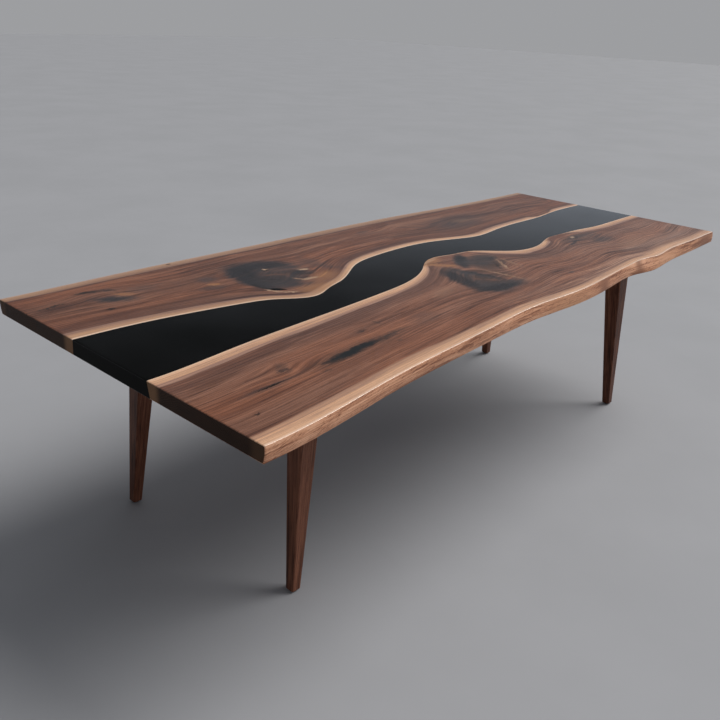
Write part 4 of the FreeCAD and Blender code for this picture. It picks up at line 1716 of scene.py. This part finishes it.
def bolt_tree() -> FastenerTree:
    """Button head bolts with a hexagon socket, heads down.

    Returns:
        The tree.
    """
    made = FastenerTree("button_head_bolts", "Head Radius", "Head Height", "Crown Radius", "Socket Radius",
                        "Socket Depth", "Shank Radius", "Shank Length")
    given, sides, shank_sides, socket_sides = made.given, 40, 32, 6
    out_share, up_share = 0.68, 0.36  # where the dome meets the skirt, from the crown's rim to the head's
    head, height, crown = given["Head Radius"], given["Head Height"], given["Crown Radius"]
    shank, socket, depth = given["Shank Radius"], given["Socket Radius"], given["Socket Depth"]
    shoulder, low = (head - crown) * out_share + crown, height * up_share
    dome = made.cone(sides, crown, shoulder, low, 0.0)
    skirt = made.cone(sides, shoulder, head, height * (1.0 - up_share), low)
    stem = made.cone(shank_sides, shank, shank, given["Shank Length"], height)
    hole = made.cone(socket_sides, socket, socket, depth * 2.0, depth * -1.0)
    made.set_out(made.union(dome, skirt, stem), hole)
    return made


def washer_tree() -> FastenerTree:
    """Plain washers with eased rims.

    Returns:
        The tree.
    """
    made = FastenerTree("plain_washers", "Radius", "Hole Radius", "Thickness", "Ease")
    given, sides, hole_sides = made.given, 48, 40
    radius, bore, thickness, ease = (given[name] for name in ("Radius", "Hole Radius", "Thickness", "Ease"))
    eased = made.cone(sides, radius - ease, radius, ease, 0.0)
    disc = made.cone(sides, radius, radius, thickness - ease, ease)
    hole = made.cone(hole_sides, bore, bore, thickness * 3.0, thickness * -1.0)
    made.set_out(made.union(eased, disc), hole)
    return made


@dataclass
class UndersideHardware:
    """The leg plates, the channels and everything that holds them.

    Attributes:
        bolt: Sizes of the bolts, by the tree's input names.
        washer: Sizes of the washers, by the tree's input names.
        apart: More than a fastener's width and less than the distance between two.
    """

    bolt: dict[str, float] = field(default_factory=lambda: {
        "Head Radius": 0.007, "Head Height": 0.0044, "Crown Radius": 0.004, "Socket Radius": 0.00289,
        "Socket Depth": 0.0026, "Shank Radius": 0.004})
    washer: dict[str, float] = field(default_factory=lambda: {
        "Radius": 0.009, "Hole Radius": 0.0045, "Thickness": 0.0016, "Ease": 0.0003})
    apart: float = 0.025

    def finish(self, zinc: Material) -> None:
        """Make the fasteners that show and finish the rest.

        Args:
            zinc: The finish of bolts, screws and washers.
        """
        dress(POWDER_COAT.material(), *PLATES, *CHANNELS)
        dress(BRASS.material(), "plate_inserts", "channel_inserts")
        dress(zinc, "leg_screws")
        bolts = bolt_tree()
        for node in ("plate_bolts", "channel_bolts"):
            low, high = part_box(node)
            sizes = {**self.bolt, "Shank Length": high.z - low.z - self.bolt["Head Height"]}
            bolts.place(node, node_centres(node, self.apart), sizes, zinc)
        node = "channel_washers"
        washer_tree().place(node, node_centres(node, self.apart), self.washer, zinc)


# Studio

@dataclass
class Studio:
    """Floor, light and camera.

    Attributes:
        camera_place: Where the camera stands.
        yaw: Degrees from +Y towards +X that it looks.
        pitch: Degrees below level.
        roll: Degrees that it is rolled.
        lens: Focal length on the sensor below.
        sensor: Sensor width.
        floor_colours: The floor and its faint cloud.
        floor_rough: Its roughness.
        floor_reach: How far it goes.
        backdrop: What the camera sees past the floor.
        mirrored: What reflections see past the floor, from the horizon up.
        fill: Strength of the light from all round.
        fill_colour: Its colour.
        fill_lean: How much stronger it is from +X and +Y.
        key: Strength of the key light.
        key_colour: Its colour.
        key_spread: Degrees across which it is spread.
        key_from: Where it comes from.
    """

    camera_place: Point = (-2.30253, -1.7444, 1.56597)
    yaw: float = 47.273
    pitch: float = 22.79
    roll: float = 2.518
    lens: float = 41.125
    sensor: float = 36.0
    floor_colours: tuple[Colour, Colour] = ((0.3525, 0.3572, 0.376), (0.375, 0.380, 0.400))
    floor_rough: float = 0.75
    floor_reach: float = 40.0
    backdrop: Colour = (0.338, 0.342, 0.354)
    mirrored: tuple[tuple[float, Colour], ...] = (
        (0.00, (0.37, 0.375, 0.395)), (0.10, (0.58, 0.620, 0.700)), (0.18, (0.80, 0.880, 1.000)),
        (0.25, (0.11, 0.117, 0.130)), (0.30, (0.012, 0.0125, 0.013)), (1.00, (0.010, 0.0102, 0.0105)),
    )
    fill: float = 0.33
    fill_colour: Colour = (0.92, 0.95, 1.0)
    fill_lean: Place = (0.80, -0.42)
    key: float = 2.6
    key_colour: Colour = (1.0, 0.98, 0.95)
    key_spread: float = 42.0
    key_from: Point = (0.64, -0.22, 0.73)

    def build(self) -> None:
        """Set the whole stage."""
        for part in (self._floor, self._sky, self._key, self._camera):
            part()
        bpy.context.scene.view_settings.view_transform = "Standard"

    def _floor(self) -> None:
        """A plain pale floor with a faint cloud."""
        board = Paint("pale_floor")
        cloud = board.noise(board.place, (1.1, 1.1, 1.1), 4.0, 0.6)
        colour = board.mix(board.span(cloud, 0.3, 0.7), *self.floor_colours)
        mesh, reach = bpy.data.meshes.new("floor"), self.floor_reach
        mesh.from_pydata([(-reach, -reach, 0), (reach, -reach, 0), (reach, reach, 0), (-reach, reach, 0)], [],
                         [(0, 1, 2, 3)])
        floor = new_object("floor", mesh)
        mesh.materials.append(board.apply(Base_Color=colour, Roughness=self.floor_rough))

    def _sky(self) -> None:
        """A pale surround for the camera, one that darkens upwards for reflections, and a soft fill."""
        world = bpy.data.worlds.new("studio")
        bpy.context.scene.world = world
        world.use_nodes = True
        board = Board(world.node_tree)
        path = board.node("ShaderNodeLightPath").outputs
        seen, mirroring, passing = (
            Wire(board, path[f"Is {ray} Ray"]) for ray in ("Camera", "Glossy", "Transmission"))
        towards = board.wire("Generated", "ShaderNodeTexCoord")
        sides = towards.axis("X") * self.fill_lean[0] + towards.axis("Y") * self.fill_lean[1] + 1.0
        lights = (
            {"Color": self.fill_colour, "Strength": sides * self.fill},
            {"Color": board.ramp(towards.axis("Z"), *zip(*self.mirrored))},
            {"Color": self.backdrop},
        )
        lit, mirrored, shown = (board.wire("Background", "ShaderNodeBackground", light) for light in lights)
        unseen = board.wire("Shader", "ShaderNodeMixShader", {0: mirroring, 1: lit, 2: mirrored})
        direct = board.math("MAXIMUM", seen, passing)
        both = board.wire("Shader", "ShaderNodeMixShader", {0: direct, 1: unseen, 2: shown})
        board.node("ShaderNodeOutputWorld", {"Surface": both})

    def _key(self) -> None:
        """A soft key light from the right."""
        lamp = bpy.data.lights.new("key", "SUN")
        lamp.energy = self.key
        lamp.angle = math.radians(self.key_spread)
        lamp.color = self.key_colour
        turn = Vector(self.key_from).to_track_quat("Z", "Y")
        new_object("key", lamp).matrix_world = turn.to_matrix().to_4x4()

    def _camera(self) -> None:
        """The camera at the photograph's angle."""
        yaw, pitch, roll = (math.radians(angle) for angle in (self.yaw, self.pitch, self.roll))
        ahead = Vector((math.sin(yaw) * math.cos(pitch), math.cos(yaw) * math.cos(pitch), -math.sin(pitch)))
        level = Vector((math.cos(yaw), -math.sin(yaw), 0.0))
        above = level.cross(ahead)
        right = level * math.cos(roll) + above * math.sin(roll)
        up = above * math.cos(roll) - level * math.sin(roll)
        data = bpy.data.cameras.new("camera")
        data.lens = self.lens
        data.sensor_width = self.sensor
        camera = new_object("camera", data)
        turn = Matrix((right, up, -ahead)).transposed().to_4x4()
        camera.matrix_world = Matrix.Translation(self.camera_place) @ turn
        bpy.context.scene.camera = camera


def main() -> None:
    """Build the table and its stage."""
    logging.basicConfig(level=logging.INFO, format="%(name)s %(message)s")
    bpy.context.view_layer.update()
    zinc = ZINC.material()
    TableTop().build()
    LegSet().finish(zinc)
    UndersideHardware().finish(zinc)
    Studio().build()


if __name__ == "__main__":
    main()
